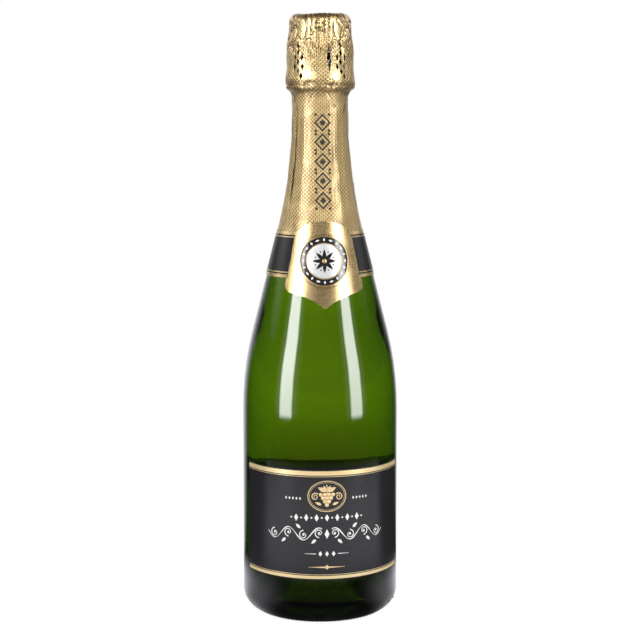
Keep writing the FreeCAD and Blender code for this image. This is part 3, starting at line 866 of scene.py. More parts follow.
def open_pockets(target, radius, top):
    """Removes the walls that the cutters left behind the sheet, so that the holes are open."""
    form = bmesh.new()
    form.from_mesh(target.data)
    walls = [face for face in form.faces
             if any(v.co.xy.length < radius * MM and v.co.z < top * MM for v in face.verts)]
    bmesh.ops.delete(form, geom=walls, context="FACES")
    form.to_mesh(target.data)
    form.free()
    print(f"{target.name}: {len(walls)} pocket walls removed")


def thicken(target, sheet):
    """Gives a sheet its thickness, inwards."""
    step = target.modifiers.new("thickness", "SOLIDIFY")
    step.thickness = sheet * MM
    step.offset = -1


# %% [markdown]
# ## The foil's finish
#
# The foil is gold lacquer on aluminium, rolled with a fine pattern of diamonds. They are about two
# millimetres wide, far too many for mesh, so they are a bump: two waves cross, one rising and one
# falling around the axis. On the hood's flat top the turn would pinch them in the middle, so
# there they run in X and Y. Where the foil was pressed, the pattern is ironed flat, and the
# material paints those patches brighter as a painted highlight.

# %% Foil pattern
WAVE_TURN, WAVE_UP = 0.46, 0.49
HOOD_MEAN, CROWN_FLAT, FOIL_OUT = 17.8, 13.2, 0.30
IRONED = [(-25, 320.5, 9, 6), (24, 320, 10, 6), (-26, 296, 20, 2.6), (22, 295.5, 9, 2.5),
          (-44, 303, 13, 9), (33, 302, 13, 10), (140, 303, 13, 9), (-143, 303, 13, 9),
          (80, 312, 14, 8), (-95, 318, 14, 7), (150, 314, 16, 8), (-150, 300, 14, 6)]
IRONED_LEFT = 0.12
UPPER_LEVELS, RIM_SHADE_LEVELS = (311, 320), (324.5, 327.5)


def diamonds(run, rise):
    """Two crossing waves, from 0 between the diamonds to 1 on them."""
    first = ((run * WAVE_TURN + rise * WAVE_UP) * math.tau).math("COSINE")
    second = ((run * WAVE_TURN - rise * WAVE_UP) * math.tau).math("COSINE")
    return ((first + second) * 0.25 + 0.5).ramp(0.15, 0.85)


def neck_run(turn, z):
    """Way around the neck's foil, which widens as it sweeps out."""
    flare = (SWEEP_TOP - z).math("MAXIMUM", 0.0)
    return turn * (NECK + FOIL_OUT + flare * flare / (2 * SWEEP))


def pressed(turn, z):
    """1 where the hood keeps its pattern, and less where fingers ironed it."""
    kept = z.ramp(*UPPER_LEVELS, 1.0, 0.35)
    for middle, height, wide, tall in IRONED:
        across = (turn - math.radians(middle)) / math.radians(wide)
        up = (z - height) / tall
        kept = kept * (across * across + up * up).ramp(0.3, 1.5, IRONED_LEFT, 1.0)
    return kept


print(f"diamonds {1 / WAVE_TURN:.2f} mm wide and {1 / WAVE_UP:.2f} mm high")

# %% [markdown]
# Down the neck runs a printed chain: five lozenges, each in a frame with dots at its corners. In
# the diamond's own measure, |x| / a + |y| / b, a frame is a band of values and a core is what
# lies below a limit, so no outline has to be drawn. Noise eats a little of the ink.

# %% Printed chain
CHAIN_TOP, CHAIN_CELL, CHAIN_CELLS = 276.0, 10.4, 5
CHAIN_WIDE, CHAIN_TALL = 4.6, 4.9
CHAIN_FRAME, CHAIN_LINE, CHAIN_CORE = 0.86, 0.14, 0.38
DOT_SIDE, DOT_UP, DOT_AREA = 3.7, 4.3, 0.55


def chain(paint, spot, run, y, z):
    """Ink mask of the chain of lozenges on the front of the neck."""
    cell = (CHAIN_TOP - z) / CHAIN_CELL
    up = (cell - cell.math("FLOOR") - 0.5) * CHAIN_CELL
    on_chain = cell.above(0) * cell.below(CHAIN_CELLS) * y.below(0)
    measure = abs(run) / CHAIN_WIDE + abs(up) / CHAIN_TALL
    frame_line = abs(measure - CHAIN_FRAME).below(CHAIN_LINE)
    core = measure.below(CHAIN_CORE)
    dots = ((abs(run) - DOT_SIDE) ** 2 + (abs(up) - DOT_UP) ** 2).below(DOT_AREA)
    worn_ink = paint.noise(spot, 0.5).ramp(0.28, 0.34)
    return on_chain * frame_line.either(core).either(dots) * worn_ink


print(f"chain: {CHAIN_CELLS} lozenges over {CHAIN_CELLS * CHAIN_CELL:.0f} mm")

# %% [markdown]
# The gold is a metal between a shaded and a bright tone. Partly this is painted light: the grooves
# between the diamonds get painted shade and the ironed patches a painted highlight, while noise
# varies the tone at random. The attribute that `crumple` kept adds painted shade to the valleys of
# the relief, where the foil mirrors itself and little light comes back, and on the hood the band
# over the rim is darkened as painted shade. A thin clear coat stands for the lacquer.

# %% Foil material
FOIL_SHADE, FOIL_BRIGHT = (0.29, 0.175, 0.058, 1), (0.83, 0.635, 0.325, 1)
FOIL_VALLEY_SHADE, FOIL_RIM_SHADE = (0.20, 0.115, 0.04, 1), (0.30, 0.185, 0.07, 1)
CHAIN_INK = (0.018, 0.014, 0.012, 1)


def foil(name, printed):
    """Gold foil with its diamonds; the printed one is for the neck, the other for the hood."""
    paint = Paint(name)
    spot = paint.place()
    x, y, z = paint.split(spot)
    turn = x.math("ARCTAN2", -y)
    ironed = paint.noise(spot, 7, 1.0).ramp(0.34, 0.50, 0.6, 1.0)
    if printed:
        run, rise = neck_run(turn, z), z
    else:
        crown = (x * x + y * y).below(CROWN_FLAT ** 2)
        run = turn * HOOD_MEAN * (1 - crown) + x * crown
        rise = z * (1 - crown) + y * crown
        ironed = ironed * pressed(turn, z)
    weave = diamonds(run, rise) * ironed
    worn = paint.noise(spot, 11, 2.0)
    # Painted shade in the grooves between the diamonds and a painted highlight on ironed patches;
    # the worn noise varies the tone at random.
    sheen_and_wear = (weave + (1 - ironed)) * 0.75 + worn * 0.25
    depth = paint.node("ShaderNodeAttribute", output="Fac", attribute_name="relief")
    gold = paint.mix(FOIL_SHADE, FOIL_BRIGHT, sheen_and_wear)
    # Painted shade in the valleys of the relief.
    gold = paint.mix(FOIL_VALLEY_SHADE, gold, depth.ramp(-0.9, 0.0, 0.15, 1.0))
    metal = 1.0
    if printed:
        ink = chain(paint, spot, run, y, z)
        gold = paint.mix(gold, CHAIN_INK, ink)
        metal = 1.0 - ink
    else:
        # Painted shade: the band over the hood's rim is darkened.
        gold = paint.mix(gold, FOIL_RIM_SHADE, z.ramp(*RIM_SHADE_LEVELS, 0.0, 0.9))
    paint.set(Base_Color=gold, Metallic=metal, Roughness=0.30 + worn * 0.12, Coat_Weight=0.45,
              Coat_Roughness=0.2)
    paint.bump(weave + paint.noise(spot, 0.9, 3.0) * 0.04, 1.0, 0.28)
    return paint


hood_foil = foil("hood_foil", printed=False)
neck_foil = foil("neck_foil", printed=True)
print("foils:", len(hood_foil.tree.nodes), "and", len(neck_foil.tree.nodes), "nodes")

# %% [markdown]
# ## The hood
#
# The hood is the foil from the tear line up: a flat top, a rounded corner, and a side that widens
# over the cork, the cage and the belt wire. It is lathed on a fine, even grid, because the relief
# can only bend the sheet where it has vertices.

# %% Foil hood
FOIL_GRID, FOIL_STEPS, FOIL_SHEET = 0.42, 300, 0.12
BULGE, TEAR = 19.15, 291.51
POCKET_RADIUS, POCKET_TOP = 16.4, 316
hood_line = even(spread([
    (0, HOOD_TOP),
    (HOOD_CROWN - HOOD_CORNER, HOOD_TOP, -HOOD_CORNER),
    (HOOD_CROWN, HOOD_TOP - HOOD_CORNER),
    (17.1, 319.5),
    (17.9, 314.5),
    (18.3, 308),
    (18.35, 301),
    (18.75, 297.7),
    (BULGE, 294.4),
    (BULGE, TEAR),
]), FOIL_GRID)
hood_form = lathe(hood_line, FOIL_STEPS)
crumple(hood_form, hood_relief)
hood = piece("foil_hood_sheet", hood_form, hood_foil, "hood", "foil_hood", sharp=60)
cut_away(hood, cutter)
open_pockets(hood, POCKET_RADIUS, POCKET_TOP)
thicken(hood, FOIL_SHEET)

# %% [markdown]
# ## The skirt
#
# Below the tear line the same foil stays on the bottle. It starts with a rolled edge under the
# hood, closes onto the neck, and follows the sweep of the glass down under the collar. The faces
# of an open sheet may end up facing in, so those are turned round before the relief pushes them.

# %% Foil skirt
SKIRT_GRID, SKIRT_DOWN = 0.58, 10.0
skirt_line = even(spread([
    (BULGE, TEAR - 0.1),
    (18.6, 290.8),
    (18.9, 290.0),
    (18.2, 288.8),
    (16.7, 287.5),
    (15.8, 286.0),
    (NECK + FOIL_OUT, 284.4),
    (NECK + FOIL_OUT, SWEEP_TOP, SWEEP - FOIL_OUT),
    off_cone(FOIL_OUT),
    off_cone(FOIL_OUT, SKIRT_DOWN),
]), SKIRT_GRID)
skirt_form = lathe(skirt_line, FOIL_STEPS)
inward = [f for f in skirt_form.faces if f.normal.xy.dot(f.calc_center_median().xy) < 0]
bmesh.ops.reverse_faces(skirt_form, faces=inward)
crumple(skirt_form, relief)
skirt = piece("foil_skirt_sheet", skirt_form, neck_foil, "bottle", "foil_skirt",
              sharp=60)
thicken(skirt, FOIL_SHEET)

# %% [markdown]
# ## Collar paper
#
# The collar is a cone of paper, hot-stamped with gold foil: a plain shield in front and black
# wings with hairlines around the neck. Its CAD shape is right, so it only gets a material. The
# print is flat, and masks of the height and the way around draw it sharply at any size. The side
# towards the glass is bare paper, which its normal tells.

# %% Collar paper
PAPER_BACK = (0.60, 0.59, 0.55, 1)
BAND_TOP, BAND_HEIGHT = CONE_TOP - 3.6, 24.4
BAND_BOTTOM = BAND_TOP - BAND_HEIGHT
SHIELD_HALF, SHIELD_FLARE = 15.9, 4.2
FIELD_INSET, HAIR_LOW, HAIR_HIGH, WING_GAP = 3.1, 1.7, 2.5, 0.5
MEDAL_Z = 197.1
BEADS, BEAD_RING, BEAD_HALF = 70, 14.5, 0.42
SHIELD_SHADE, SHIELD_BRIGHT = (0.85, 0.59, 0.26, 1), (0.97, 0.75, 0.40, 1)
BEAD_BROWN = (0.16, 0.09, 0.035, 1)
WING_DARK, WING_LIGHT = (0.012, 0.011, 0.011, 1), (0.020, 0.018, 0.018, 1)


def unprinted(paint, x, y):
    """1 on the side of a paper that faces the glass."""
    out_x, out_y, _ = paint.split(paint.node("ShaderNodeTexCoord", output="Normal"))
    return (out_x * x + out_y * y).below(0)


def wings(run, z):
    """Mask of the black wings beside the shield, with a hairline along each edge."""
    down = (BAND_TOP - z) / BAND_HEIGHT
    shield_edge = SHIELD_HALF + down * SHIELD_FLARE + down * down
    from_edge = (BAND_TOP - z).math("MINIMUM", z - BAND_BOTTOM)
    field = from_edge.above(FIELD_INSET) * run.above(shield_edge + WING_GAP)
    hairline = from_edge.above(HAIR_LOW) * from_edge.below(HAIR_HIGH)
    return run.above(shield_edge) * field.either(hairline)


def dotted_ring(run, z):
    """Mask of the dots around the medallion."""
    up = (z - MEDAL_Z) / math.cos(TILT)
    on_ring = abs((run * run + up * up) ** 0.5 - BEAD_RING).below(BEAD_HALF)
    return on_ring * (run.math("ARCTAN2", up) * BEADS).math("COSINE").above(0.1)


def collar_paint():
    """Stamped gold with black wings and a dotted ring."""
    paint = Paint("collar_paper")
    spot = paint.place()
    x, y, z = paint.split(spot)
    run = abs(x.math("ARCTAN2", -y) * (x * x + y * y) ** 0.5)
    black = wings(run, z)
    back = unprinted(paint, x, y)
    worn = paint.noise(spot, 9, 2.0)
    gold = paint.mix(SHIELD_SHADE, SHIELD_BRIGHT, worn)
    gold = paint.mix(gold, BEAD_BROWN, dotted_ring(run, z))
    ink = paint.mix(WING_DARK, WING_LIGHT, paint.noise(spot, 1.2, 3.0))
    front = paint.mix(gold, ink, black)
    paint.set(Base_Color=paint.mix(front, PAPER_BACK, back),
              Metallic=0.95 * (1 - black) * (1 - back),
              Roughness=0.25 + worn * 0.05 - black * 0.05,
              Coat_Weight=1.0 - black, Coat_Roughness=0.1)
    paint.bump(paint.noise(spot, 5, 2.0) + 0.25 * (1.0 - black), 0.1, 0.15)
    return paint


def repaint(node, paint):
    """Gives a CAD node a better material and leaves its shape alone."""
    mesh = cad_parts[node].data
    mesh.materials.clear()
    mesh.materials.append(paint.material)
    print(f"{node}: {paint.material.name}")


repaint("collar_label", collar_paint())

# %% [markdown]
# ## Label paper
#
# The front label is dark satin paper with a gold band and a hairline along its top and its foot.
# Bronze print is only half as metallic as stamped foil, so it also shows in plain light from the
# front. Fine noise gives the paper its fibres.

# %% Label paper
LABEL_BOTTOM, LABEL_TOP = 26.2, 86.4
TOP_BAND, TOP_HAIR = (0.5, 2.9), (3.4, 3.65)
FOOT_BAND, FOOT_HAIR = (0.5, 2.2), (2.7, 2.95)
SATIN_DARK, SATIN_LIGHT = (0.012, 0.0115, 0.013, 1), (0.020, 0.019, 0.022, 1)
BRONZE_SHADE, BRONZE_BRIGHT = (0.90, 0.68, 0.33, 1), (0.98, 0.80, 0.47, 1)


def between(value, limits):
    """1 between two limits."""
    return value.above(limits[0]) * value.below(limits[1])


def label_paint():
    """Dark satin paper with gold bands."""
    paint = Paint("label_paper")
    spot = paint.place()
    x, y, z = paint.split(spot)
    from_top, from_foot = LABEL_TOP - z, z - LABEL_BOTTOM
    bands = between(from_top, TOP_BAND).either(between(from_foot, FOOT_BAND))
    hairs = between(from_top, TOP_HAIR).either(between(from_foot, FOOT_HAIR))
    bronze = bands.either(hairs)
    fibre = paint.noise(spot, 0.7, 4.0)
    cloud = paint.noise(spot, 16, 2.0)
    satin = paint.mix(SATIN_DARK, SATIN_LIGHT, fibre * 0.6 + cloud * 0.4)
    front = paint.mix(satin, paint.mix(BRONZE_SHADE, BRONZE_BRIGHT, cloud), bronze)
    back = unprinted(paint, x, y)
    paint.set(Base_Color=paint.mix(front, PAPER_BACK, back), Metallic=0.5 * bronze * (1 - back),
              Roughness=0.20 + fibre * 0.05 + bronze * 0.06)
    paint.bump(fibre * 0.3 + bronze, 0.25, 0.06)
    return paint


repaint("front_label", label_paint())

# %% [markdown]
# ## Raised print
#
# Good labels are printed in relief: the ink stands out and catches the light. A bump could carry
# it, but it would have no edge. Plain motifs are quickly drawn as mesh: lozenges, dots, a vine
# scroll, a bunch of grapes and a rosette. They are drawn flat, with x along the paper and z up,
# then given a thickness towards -Y, and last bent onto the paper. A ribbon is one row of a grid
# operator, laid along a path.

# %% Flat lines
def stroke(form, path, width):
    """Ribbon along a path; width is a function of the share of the way."""
    count = len(path) - 1
    made = bmesh.ops.create_grid(form, x_segments=count, y_segments=1, size=1)
    for vert in made["verts"]:
        i = round((vert.co.x + 1) / 2 * count)
        ahead = path[min(i + 1, count)] - path[max(i - 1, 0)]
        side = Vector((-ahead.y, ahead.x)).normalized() * width(i / count) / 2
        place = path[i] + side * math.copysign(1, vert.co.y)
        vert.co = (place.x, 0, place.y)


def taper(start, finish):
    """Width that runs evenly from a start to a finish."""
    return lambda share: start + (finish - start) * share


def flip(path, side):
    """The path itself for side 1, and its mirror image for side -1."""
    return [Vector((side * p.x, p.y)) for p in path]


def oval(form, z, half_width, half_height, width, steps=72):
    """Flat oval line around a point in the middle of the label."""
    angles = [math.tau * i / steps for i in range(steps + 1)]
    path = [Vector((half_width * math.cos(a), z + half_height * math.sin(a))) for a in angles]
    stroke(form, path, taper(width, width))


def leaf(form, x, z, length, half_width, turn, steps=10):
    """Pointed leaf that starts at a point and grows along a turn."""
    heading = Vector((math.cos(turn), math.sin(turn)))
    path = [Vector((x, z)) + heading * length * i / steps for i in range(steps + 1)]
    stroke(form, path, lambda share: 0.06 + 2 * half_width * math.sin(math.pi * share ** 0.8))


def spiral(x, z, radius, start, turns, steps=36):
    """Path of a tendril that winds in to its middle."""
    found = []
    for share in (i / steps for i in range(steps + 1)):
        angle = start + turns * math.tau * share
        arm = Vector((math.cos(angle), math.sin(angle))) * radius * (1 - 0.85 * share)
        found.append(Vector((x, z)) + arm)
    return found


# %% [markdown]
# A lozenge is a circle operator with four sides, and a bead is a squashed sphere. `stand` extrudes
# whatever is still flat. `bend` turns the way along the paper into a turn around the axis.

# %% Flat shapes
def lozenge(form, x, z, half_width, half_height, turn=0.0):
    """Diamond, turned about its middle."""
    cos, sin = math.cos(turn), math.sin(turn)
    made = bmesh.ops.create_circle(form, cap_ends=True, cap_tris=True, segments=4, radius=1)
    for vert in made["verts"]:
        a, b = vert.co.x * half_width, vert.co.y * half_height
        vert.co = (x + a * cos - b * sin, 0, z + a * sin + b * cos)


def dome(form, x, z, radius, height):
    """Round bead that stands out of the paper."""
    made = bmesh.ops.create_uvsphere(form, u_segments=12, v_segments=8, radius=1)
    for vert in made["verts"]:
        across, out, up = vert.co
        vert.co = (x + across * radius, out * height, z + up * radius)


def stand(form, thickness):
    """Gives flat faces a thickness towards -Y."""
    flat = [face for face in form.faces if all(abs(v.co.y) < 1e-6 for v in face.verts)]
    made = bmesh.ops.extrude_face_region(form, geom=flat)["geom"]
    moved = [item for item in made if isinstance(item, bmesh.types.BMVert)]
    bmesh.ops.translate(form, vec=(0, -thickness, 0), verts=moved)
    bmesh.ops.recalc_face_normals(form, faces=form.faces[:])


def bend(form, radius):
    """Bends a flat form onto a cylinder of that radius."""
    for vert in form.verts:
        x, y, z = vert.co
        vert.co = around(radius - y, x / radius, z) * MM


# %% [markdown]
# Inks differ in how they shine: white is matt, black is varnished, and leaf is metal. One function
# makes them all, with a fine grain and soft clouds so that none is perfectly even.

# %% Inks
def ink(name, dark, light, metal, rough, varnish=0.0):
    """Printed ink or leaf with a fine grain, and clear varnish over it."""
    paint = Paint(name)
    spot = paint.place()
    grain = paint.noise(spot, 0.35, 3.0)
    cloud = paint.noise(spot, 4, 2.0)
    paint.set(Base_Color=paint.mix(dark, light, grain * 0.5 + cloud * 0.5), Metallic=metal,
              Roughness=rough + grain * 0.1, Coat_Weight=varnish, Coat_Roughness=0.1)
    paint.bump(grain, 0.2, 0.03)
    return paint


white_ink = ink("white_ink", (0.66, 0.66, 0.65, 1), (0.80, 0.80, 0.79, 1), 0.0, 0.45)
black_ink = ink("black_ink", (0.012, 0.012, 0.013, 1), (0.022, 0.021, 0.022, 1), 0.0, 0.12, 1.0)
gold_leaf = ink("gold_leaf", (0.60, 0.42, 0.17, 1), (0.74, 0.56, 0.29, 1), 1.0, 0.24)
gold_ink = ink("gold_ink", (0.76, 0.56, 0.27, 1), (0.92, 0.72, 0.42, 1), 0.4, 0.24)
silver_leaf = ink("silver_leaf", (0.62, 0.62, 0.62, 1), (0.80, 0.80, 0.80, 1), 0.55, 0.36, 1.0)
print("inks: white, black, gold leaf, gold and silver leaf")

# %% [markdown]
# ## White print on the label
#
# The label's main line is a vine scroll: a wave with a tendril in each bend and leaves between. It
# is drawn once and mirrored about the middle. Rows of lozenges and dots stand above and below it.

# %% Vine scroll
LABEL_R, PRINT = 43.2, 0.07
SCROLL_Z, SCROLL_WAVE, SCROLL_TALL = 51.5, 17.0, 3.4
SCROLL_FROM, SCROLL_TO, SCROLL_STEPS, SCROLL_BENDS = 2.6, 34.0, 110, 4


def scroll(x):
    """Point of the vine at a way along the label from its middle."""
    return Vector((x, SCROLL_Z + SCROLL_TALL * math.sin(math.tau * x / SCROLL_WAVE)))


def vine_width(share):
    """The vine swells and thins, and ends thin."""
    return 0.75 - 0.35 * math.cos(share * 12) ** 2 - 0.25 * share


white = bmesh.new()
run = SCROLL_TO - SCROLL_FROM
vine = [scroll(SCROLL_FROM + run * i / SCROLL_STEPS) for i in range(SCROLL_STEPS + 1)]
for side in (-1, 1):
    stroke(white, flip(vine, side), vine_width)
    for i in range(SCROLL_BENDS):
        x = (i + 0.5) * SCROLL_WAVE / 2
        up = -1 if i % 2 else 1
        middle = SCROLL_Z + up * 0.6
        tendril = spiral(x, middle, 2.5, -up * math.pi / 2, up * 1.3)
        stroke(white, flip(tendril, side), taper(0.55, 0.25))
        dome(white, side * x, middle, 0.55, 0.1)
        if i < SCROLL_BENDS - 1:
            turn = -up * 0.75 if side > 0 else math.pi + up * 0.75
            leaf(white, side * (x + 1.7), SCROLL_Z - up * 3.0, 3.4, 0.75, turn)
print(f"vine: {len(white.faces)} flat faces")

# %% Rows of lozenges
ROW_Z, ROW_STEP = 60.4, 5.6
TRIO_Z, TRIO_STEP = 40.6, 3.6
SIDE_Z, SIDE_FROM, SIDE_STEP = 70.8, 14.6, 2.0
lozenge(white, 0, SCROLL_Z, 1.3, 2.6)
for i in range(-3, 4):
    lozenge(white, i * ROW_STEP, ROW_Z, 1.15, 2.0)
for i in range(-4, 4):
    dome(white, (i + 0.5) * ROW_STEP, ROW_Z, 0.5, 0.1)
for i in (-1, 0, 1):
    lozenge(white, i * TRIO_STEP, TRIO_Z, 1.0, 1.5)
trio_line = [Vector((6 + i * 0.6, TRIO_Z)) for i in range(11)]
for side in (-1, 1):
    stroke(white, flip(trio_line, side), taper(0.4, 0.15))
    for i in range(5):
        lozenge(white, side * (SIDE_FROM + i * SIDE_STEP), SIDE_Z, 0.55, 0.85)
stand(white, PRINT)
bend(white, LABEL_R)
piece("label_white_print", white, white_ink, "bottle")

# %% [markdown]
# ## Gold print on the label
#
# The emblem is a bunch of grapes with leaves and tendrils in a double oval, a plain sign for wine.
# Its grapes are beads, so they catch the light one by one. A slim line with a lozenge closes the
# label at its foot.

# %% Emblem
EMBLEM_Z = 72.2
GRAPE_ROWS, GRAPE_STEP, GRAPE_DROP = (4, 3, 2, 1), 2.2, 1.9
EMBLEM_LEAVES = [(0.4, 2.6, 5.0, 1.15, 1.1), (0.3, 2.6, 3.6, 0.8, 0.45), (3.0, -4.6, 3.6, 0.7, 1.2)]
LINE_Z = 33.2
gold = bmesh.new()
oval(gold, EMBLEM_Z, 10.3, 8.3, 0.4)
oval(gold, EMBLEM_Z, 9.5, 7.5, 0.16)
for row, count in enumerate(GRAPE_ROWS):
    for i in range(count):
        x = (i - (count - 1) / 2) * GRAPE_STEP
        dome(gold, x, EMBLEM_Z + 0.9 - row * GRAPE_DROP, 1.08, 0.5)
tendril = spiral(6.4, EMBLEM_Z - 0.2, 2.1, 2.4, -1.6)
for side in (-1, 1):
    for x, up, length, half_width, lean in EMBLEM_LEAVES:
        leaf(gold, side * x, EMBLEM_Z + up, length, half_width, math.pi / 2 - side * lean)
    stroke(gold, flip(tendril, side), taper(0.6, 0.3))
stalk = [Vector((0.4 * math.sin(i / 3), EMBLEM_Z + 1.6 + i * 0.4)) for i in range(13)]
stroke(gold, stalk, taper(0.5, 0.5))
foot_line = [Vector((-10 + i * 0.5, LINE_Z)) for i in range(41)]
stroke(gold, foot_line, lambda share: 0.15 + 0.65 * math.sin(math.pi * share) ** 2)
lozenge(gold, 0, LINE_Z, 1.5, 1.3)
stand(gold, PRINT)
bend(gold, LABEL_R)
piece("label_gold_print", gold, gold_ink, "bottle")

# %% [markdown]
# ## The medallion on the collar
#
# A round medallion is struck in the middle of the shield: a silver dish, a black ring with marks,
# and two gold rims. Each is lathed around an axis that points out of the paper, and then bent
# onto the cone, whose radius changes with the height.

# %% Medallion tools
COLLAR_OUT = 0.5
MEDAL_STEPS, RIDGE_STEPS = 96, 8


def dish(profile):
    """Turns a profile of (radius, height out of the paper) around the Y axis."""
    form = bmesh.new()
    verts = [form.verts.new((radius, -out, 0)) for radius, out in profile]
    edges = [form.edges.new(pair) for pair in zip(verts, verts[1:])]
    bmesh.ops.spin(form, geom=verts + edges, cent=(0, 0, 0), axis=(0, 1, 0), angle=math.tau,
                   steps=MEDAL_STEPS, use_merge=True)
    bmesh.ops.remove_doubles(form, verts=form.verts[:], dist=1e-5)
    bmesh.ops.recalc_face_normals(form, faces=form.faces[:])
    return form


def ridge(low, high, tall):
    """Profile of a rounded ridge between two radii."""
    return [(low + (high - low) * i / RIDGE_STEPS,
             tall * math.sin(math.pi * i / RIDGE_STEPS) ** 0.7) for i in range(RIDGE_STEPS + 1)]


def medal(name, form, paint):
    """Bends a part of the medallion onto the collar and makes it a piece."""
    down = (CONE_TOP - MEDAL_Z) / math.cos(TILT)
    for vert in form.verts:
        x, y, z = vert.co
        radius, up = off_cone(COLLAR_OUT - y, down - z)
        vert.co = around(radius, x / radius, up) * MM
    piece(name, form, paint, "bottle")


# %% Medallion
DISC, DISC_TALL, DISC_FALL, EDGE = 9.5, 0.34, 0.2, 0.02
BLACK_TALL = 0.13
MARKS, MARK_R, PETALS = 20, 11.6, 8
disc = [(r, DISC_TALL - DISC_FALL * (r / DISC) ** 2) for r in (0, 2, 4, 6, 8, 9.1)]
medal("medal_disc", dish(disc + [(DISC, EDGE)]), silver_leaf)
black = [(r, BLACK_TALL) for r in (10.0, 10.8, 11.6, 12.4, 13.1)]
medal("medal_ring", dish([(9.9, EDGE)] + black + [(13.2, EDGE)]), black_ink)
medal("medal_rims", dish(ridge(9.4, 10.1, 0.34) + ridge(13.1, 13.7, 0.28)), gold_leaf)
marks = bmesh.new()
for i in range(MARKS):
    angle = math.tau * i / MARKS
    half_width, half_height = (0.95, 0.6) if i % 2 else (0.55, 1.25)
    lozenge(marks, MARK_R * math.cos(angle), MARK_R * math.sin(angle), half_width, half_height,
            angle)
stand(marks, 0.2)
medal("medal_marks", marks, white_ink)

# %% [markdown]
# In the dish lies a rosette of eight pointed petals with a bead between each two and a gold heart.

# %% Rosette
petals = bmesh.new()
for i in range(PETALS):
    leaf(petals, 0, 0, 6.5, 1.0, math.tau * i / PETALS)
for i in range(PETALS):
    angle = math.tau * (i + 0.5) / PETALS
    dome(petals, 5.3 * math.cos(angle), 5.3 * math.sin(angle), 0.5, 0.55)
stand(petals, 0.42)
medal("medal_petals", petals, black_ink)
heart = bmesh.new()
dome(heart, 0, 0, 1.5, 0.75)
medal("medal_heart", heart, gold_leaf)

# %% [markdown]
# ## Mould marks on the glass
#
# A moulded bottle carries marks of its mould: a few code dots on the heel, and a ring of small
# bumps under the foot that keeps hot glass off the conveyor. A bump texture wouldn't show in the
# outline, so they are small domes that sit on the heel's arc and are leant with it.

# %% Heel dots and foot bumps
DOT_TURNS = (-88, -55, -43, 61, 73, 97, 133, 145, 157, -170, -131)
DOT_LEVEL, FOOT_LEVEL, FOOT_BUMPS = 6.4, 0.75, 96


def bumps(name, spots, wide, tall, proud):
    """Small glass domes at (turn in degrees, height) on the heel."""
    form = bmesh.new()
    for turn, height in spots:
        made = bmesh.ops.create_uvsphere(form, u_segments=12, v_segments=8, radius=1)
        radius = FOOT_OUT + math.sqrt(HEEL ** 2 - (HEEL - height) ** 2)
        slope = math.asin((HEEL - height) / HEEL)
        for vert in made["verts"]:
            side, out, up = vert.co.x * wide, vert.co.y * proud, vert.co.z * tall
            reach = radius - out * math.cos(slope) + up * math.sin(slope)
            lift = height + out * math.sin(slope) + up * math.cos(slope)
            vert.co = around(reach, math.radians(turn) + side / radius, lift) * MM
    bmesh.ops.recalc_face_normals(form, faces=form.faces[:])
    piece(name, form, green_glass, "bottle")


bumps("heel_dots", [(turn, DOT_LEVEL) for turn in DOT_TURNS], 0.55, 0.55, 0.4)
foot_turns = [i * 360 / FOOT_BUMPS for i in range(FOOT_BUMPS)]
bumps("foot_bumps", [(turn, FOOT_LEVEL) for turn in foot_turns], 0.6, 0.35, 0.3)

# %% [markdown]
# ## Cork
#
# The cork's body is pressed from granules, with a disc of natural cork glued on at each end. It
# shows through the slit and when the hood is lifted. The CAD shape stays. Voronoi cells make the
# granules, with dark glue between them, and stretched noise makes the pores of the natural discs.

# %% Cork
GRANULE_DARK, GRANULE_LIGHT = (0.30, 0.15, 0.062, 1), (0.56, 0.34, 0.17, 1)
GLUE = (0.13, 0.06, 0.028, 1)
BARK_DARK, BARK_LIGHT = (0.50, 0.30, 0.15, 1), (0.68, 0.46, 0.26, 1)
PORE = (0.12, 0.055, 0.025, 1)


def agglomerate():
    """Pressed cork: granules of different tones with glue between them."""
    paint = Paint("cork_agglomerate")
    spot = paint.place()
    granules = {"Vector": spot, "Scale": 0.45, "Randomness": 1.0}
    tone = paint.split(paint.node("ShaderNodeTexVoronoi", granules, "Color"))[0]
    gap = paint.node("ShaderNodeTexVoronoi", granules, "Distance", feature="DISTANCE_TO_EDGE")
    grain = paint.noise(spot, 0.6, 4.0)
    tan = paint.mix(GRANULE_DARK, GRANULE_LIGHT, tone * 0.7 + grain * 0.3)
    paint.set(Base_Color=paint.mix(GLUE, tan, gap.ramp(0.0, 0.10)), Roughness=0.85)
    paint.bump(gap.ramp(0.0, 0.2) + grain * 0.4, 0.6, 0.3)
    return paint


def natural_cork():
    """Cork bark with long dark pores."""
    paint = Paint("cork_natural")
    spot = paint.place()
    grain = paint.noise(spot, 0.8, 5.0)
    stretch = paint.node("ShaderNodeMapping", {"Vector": spot, "Scale": (0.9, 0.9, 0.18)})
    pores = paint.noise(stretch, 1.6, 3.0).ramp(0.62, 0.70)
    tan = paint.mix(BARK_DARK, BARK_LIGHT, grain)
    paint.set(Base_Color=paint.mix(tan, PORE, pores), Roughness=0.8)
    paint.bump(grain * 0.4 - pores, 0.6, 0.3)
    return paint


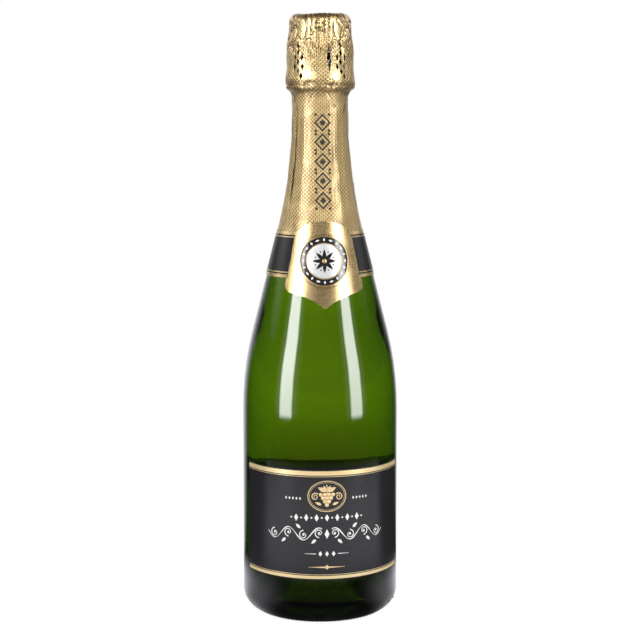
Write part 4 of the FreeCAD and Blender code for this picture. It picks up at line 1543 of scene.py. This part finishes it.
repaint("cork_body", agglomerate())
natural = natural_cork()
repaint("cork_disc_upper", natural)
repaint("cork_disc_lower", natural)

# %% [markdown]
# ## Plaque and wires
#
# A pressed metal plaque keeps the cage from cutting into the cork. It is lacquered gold with a
# dark rosette, which a cosine of the turn draws. The cage and the belt are galvanised steel
# wire, whose skin is spangled with dull and bright patches. All three keep their CAD shape, so
# materials do the rest.

# %% Plaque and wires
PLAQUE_SHADE, PLAQUE_BRIGHT = (0.58, 0.40, 0.15, 1), (0.74, 0.55, 0.26, 1)
PLAQUE_RED = (0.10, 0.012, 0.012, 1)
ROSETTE, ROSETTE_HOLE, PLAQUE_RIM = 6.2, 1.2, 8.6
ZINC_DULL, ZINC_BRIGHT = (0.42, 0.42, 0.44, 1), (0.66, 0.66, 0.68, 1)


def plaque_gold():
    """Gold lacquer with a dark rosette and a ribbed rim."""
    paint = Paint("plaque_gold")
    spot = paint.place()
    x, y, _ = paint.split(spot)
    radius = (x * x + y * y) ** 0.5
    petals = abs((x.math("ARCTAN2", y) * 4).math("COSINE")) * ROSETTE
    rosette = radius.below(petals) * radius.above(ROSETTE_HOLE)
    ribs = abs((radius * 3.2).math("SINE")) * radius.above(PLAQUE_RIM)
    worn = paint.noise(spot, 3, 3.0)
    gold = paint.mix(PLAQUE_SHADE, PLAQUE_BRIGHT, worn)
    paint.set(Base_Color=paint.mix(gold, PLAQUE_RED, rosette), Metallic=1.0 - rosette * 0.7,
              Roughness=0.22 + worn * 0.12)
    paint.bump(rosette * 0.6 + ribs * 0.3, 0.4, 0.2)
    return paint


def wire_steel():
    """Galvanised wire."""
    paint = Paint("wire_steel")
    spangle = paint.noise(paint.place(), 0.8, 3.0)
    paint.set(Base_Color=paint.mix(ZINC_DULL, ZINC_BRIGHT, spangle), Metallic=1.0,
              Roughness=0.26 + spangle * 0.2)
    paint.bump(spangle, 0.25, 0.08)
    return paint


repaint("cap_plaque", plaque_gold())
steel = wire_steel()
repaint("cage_wire", steel)
repaint("belt_wire", steel)
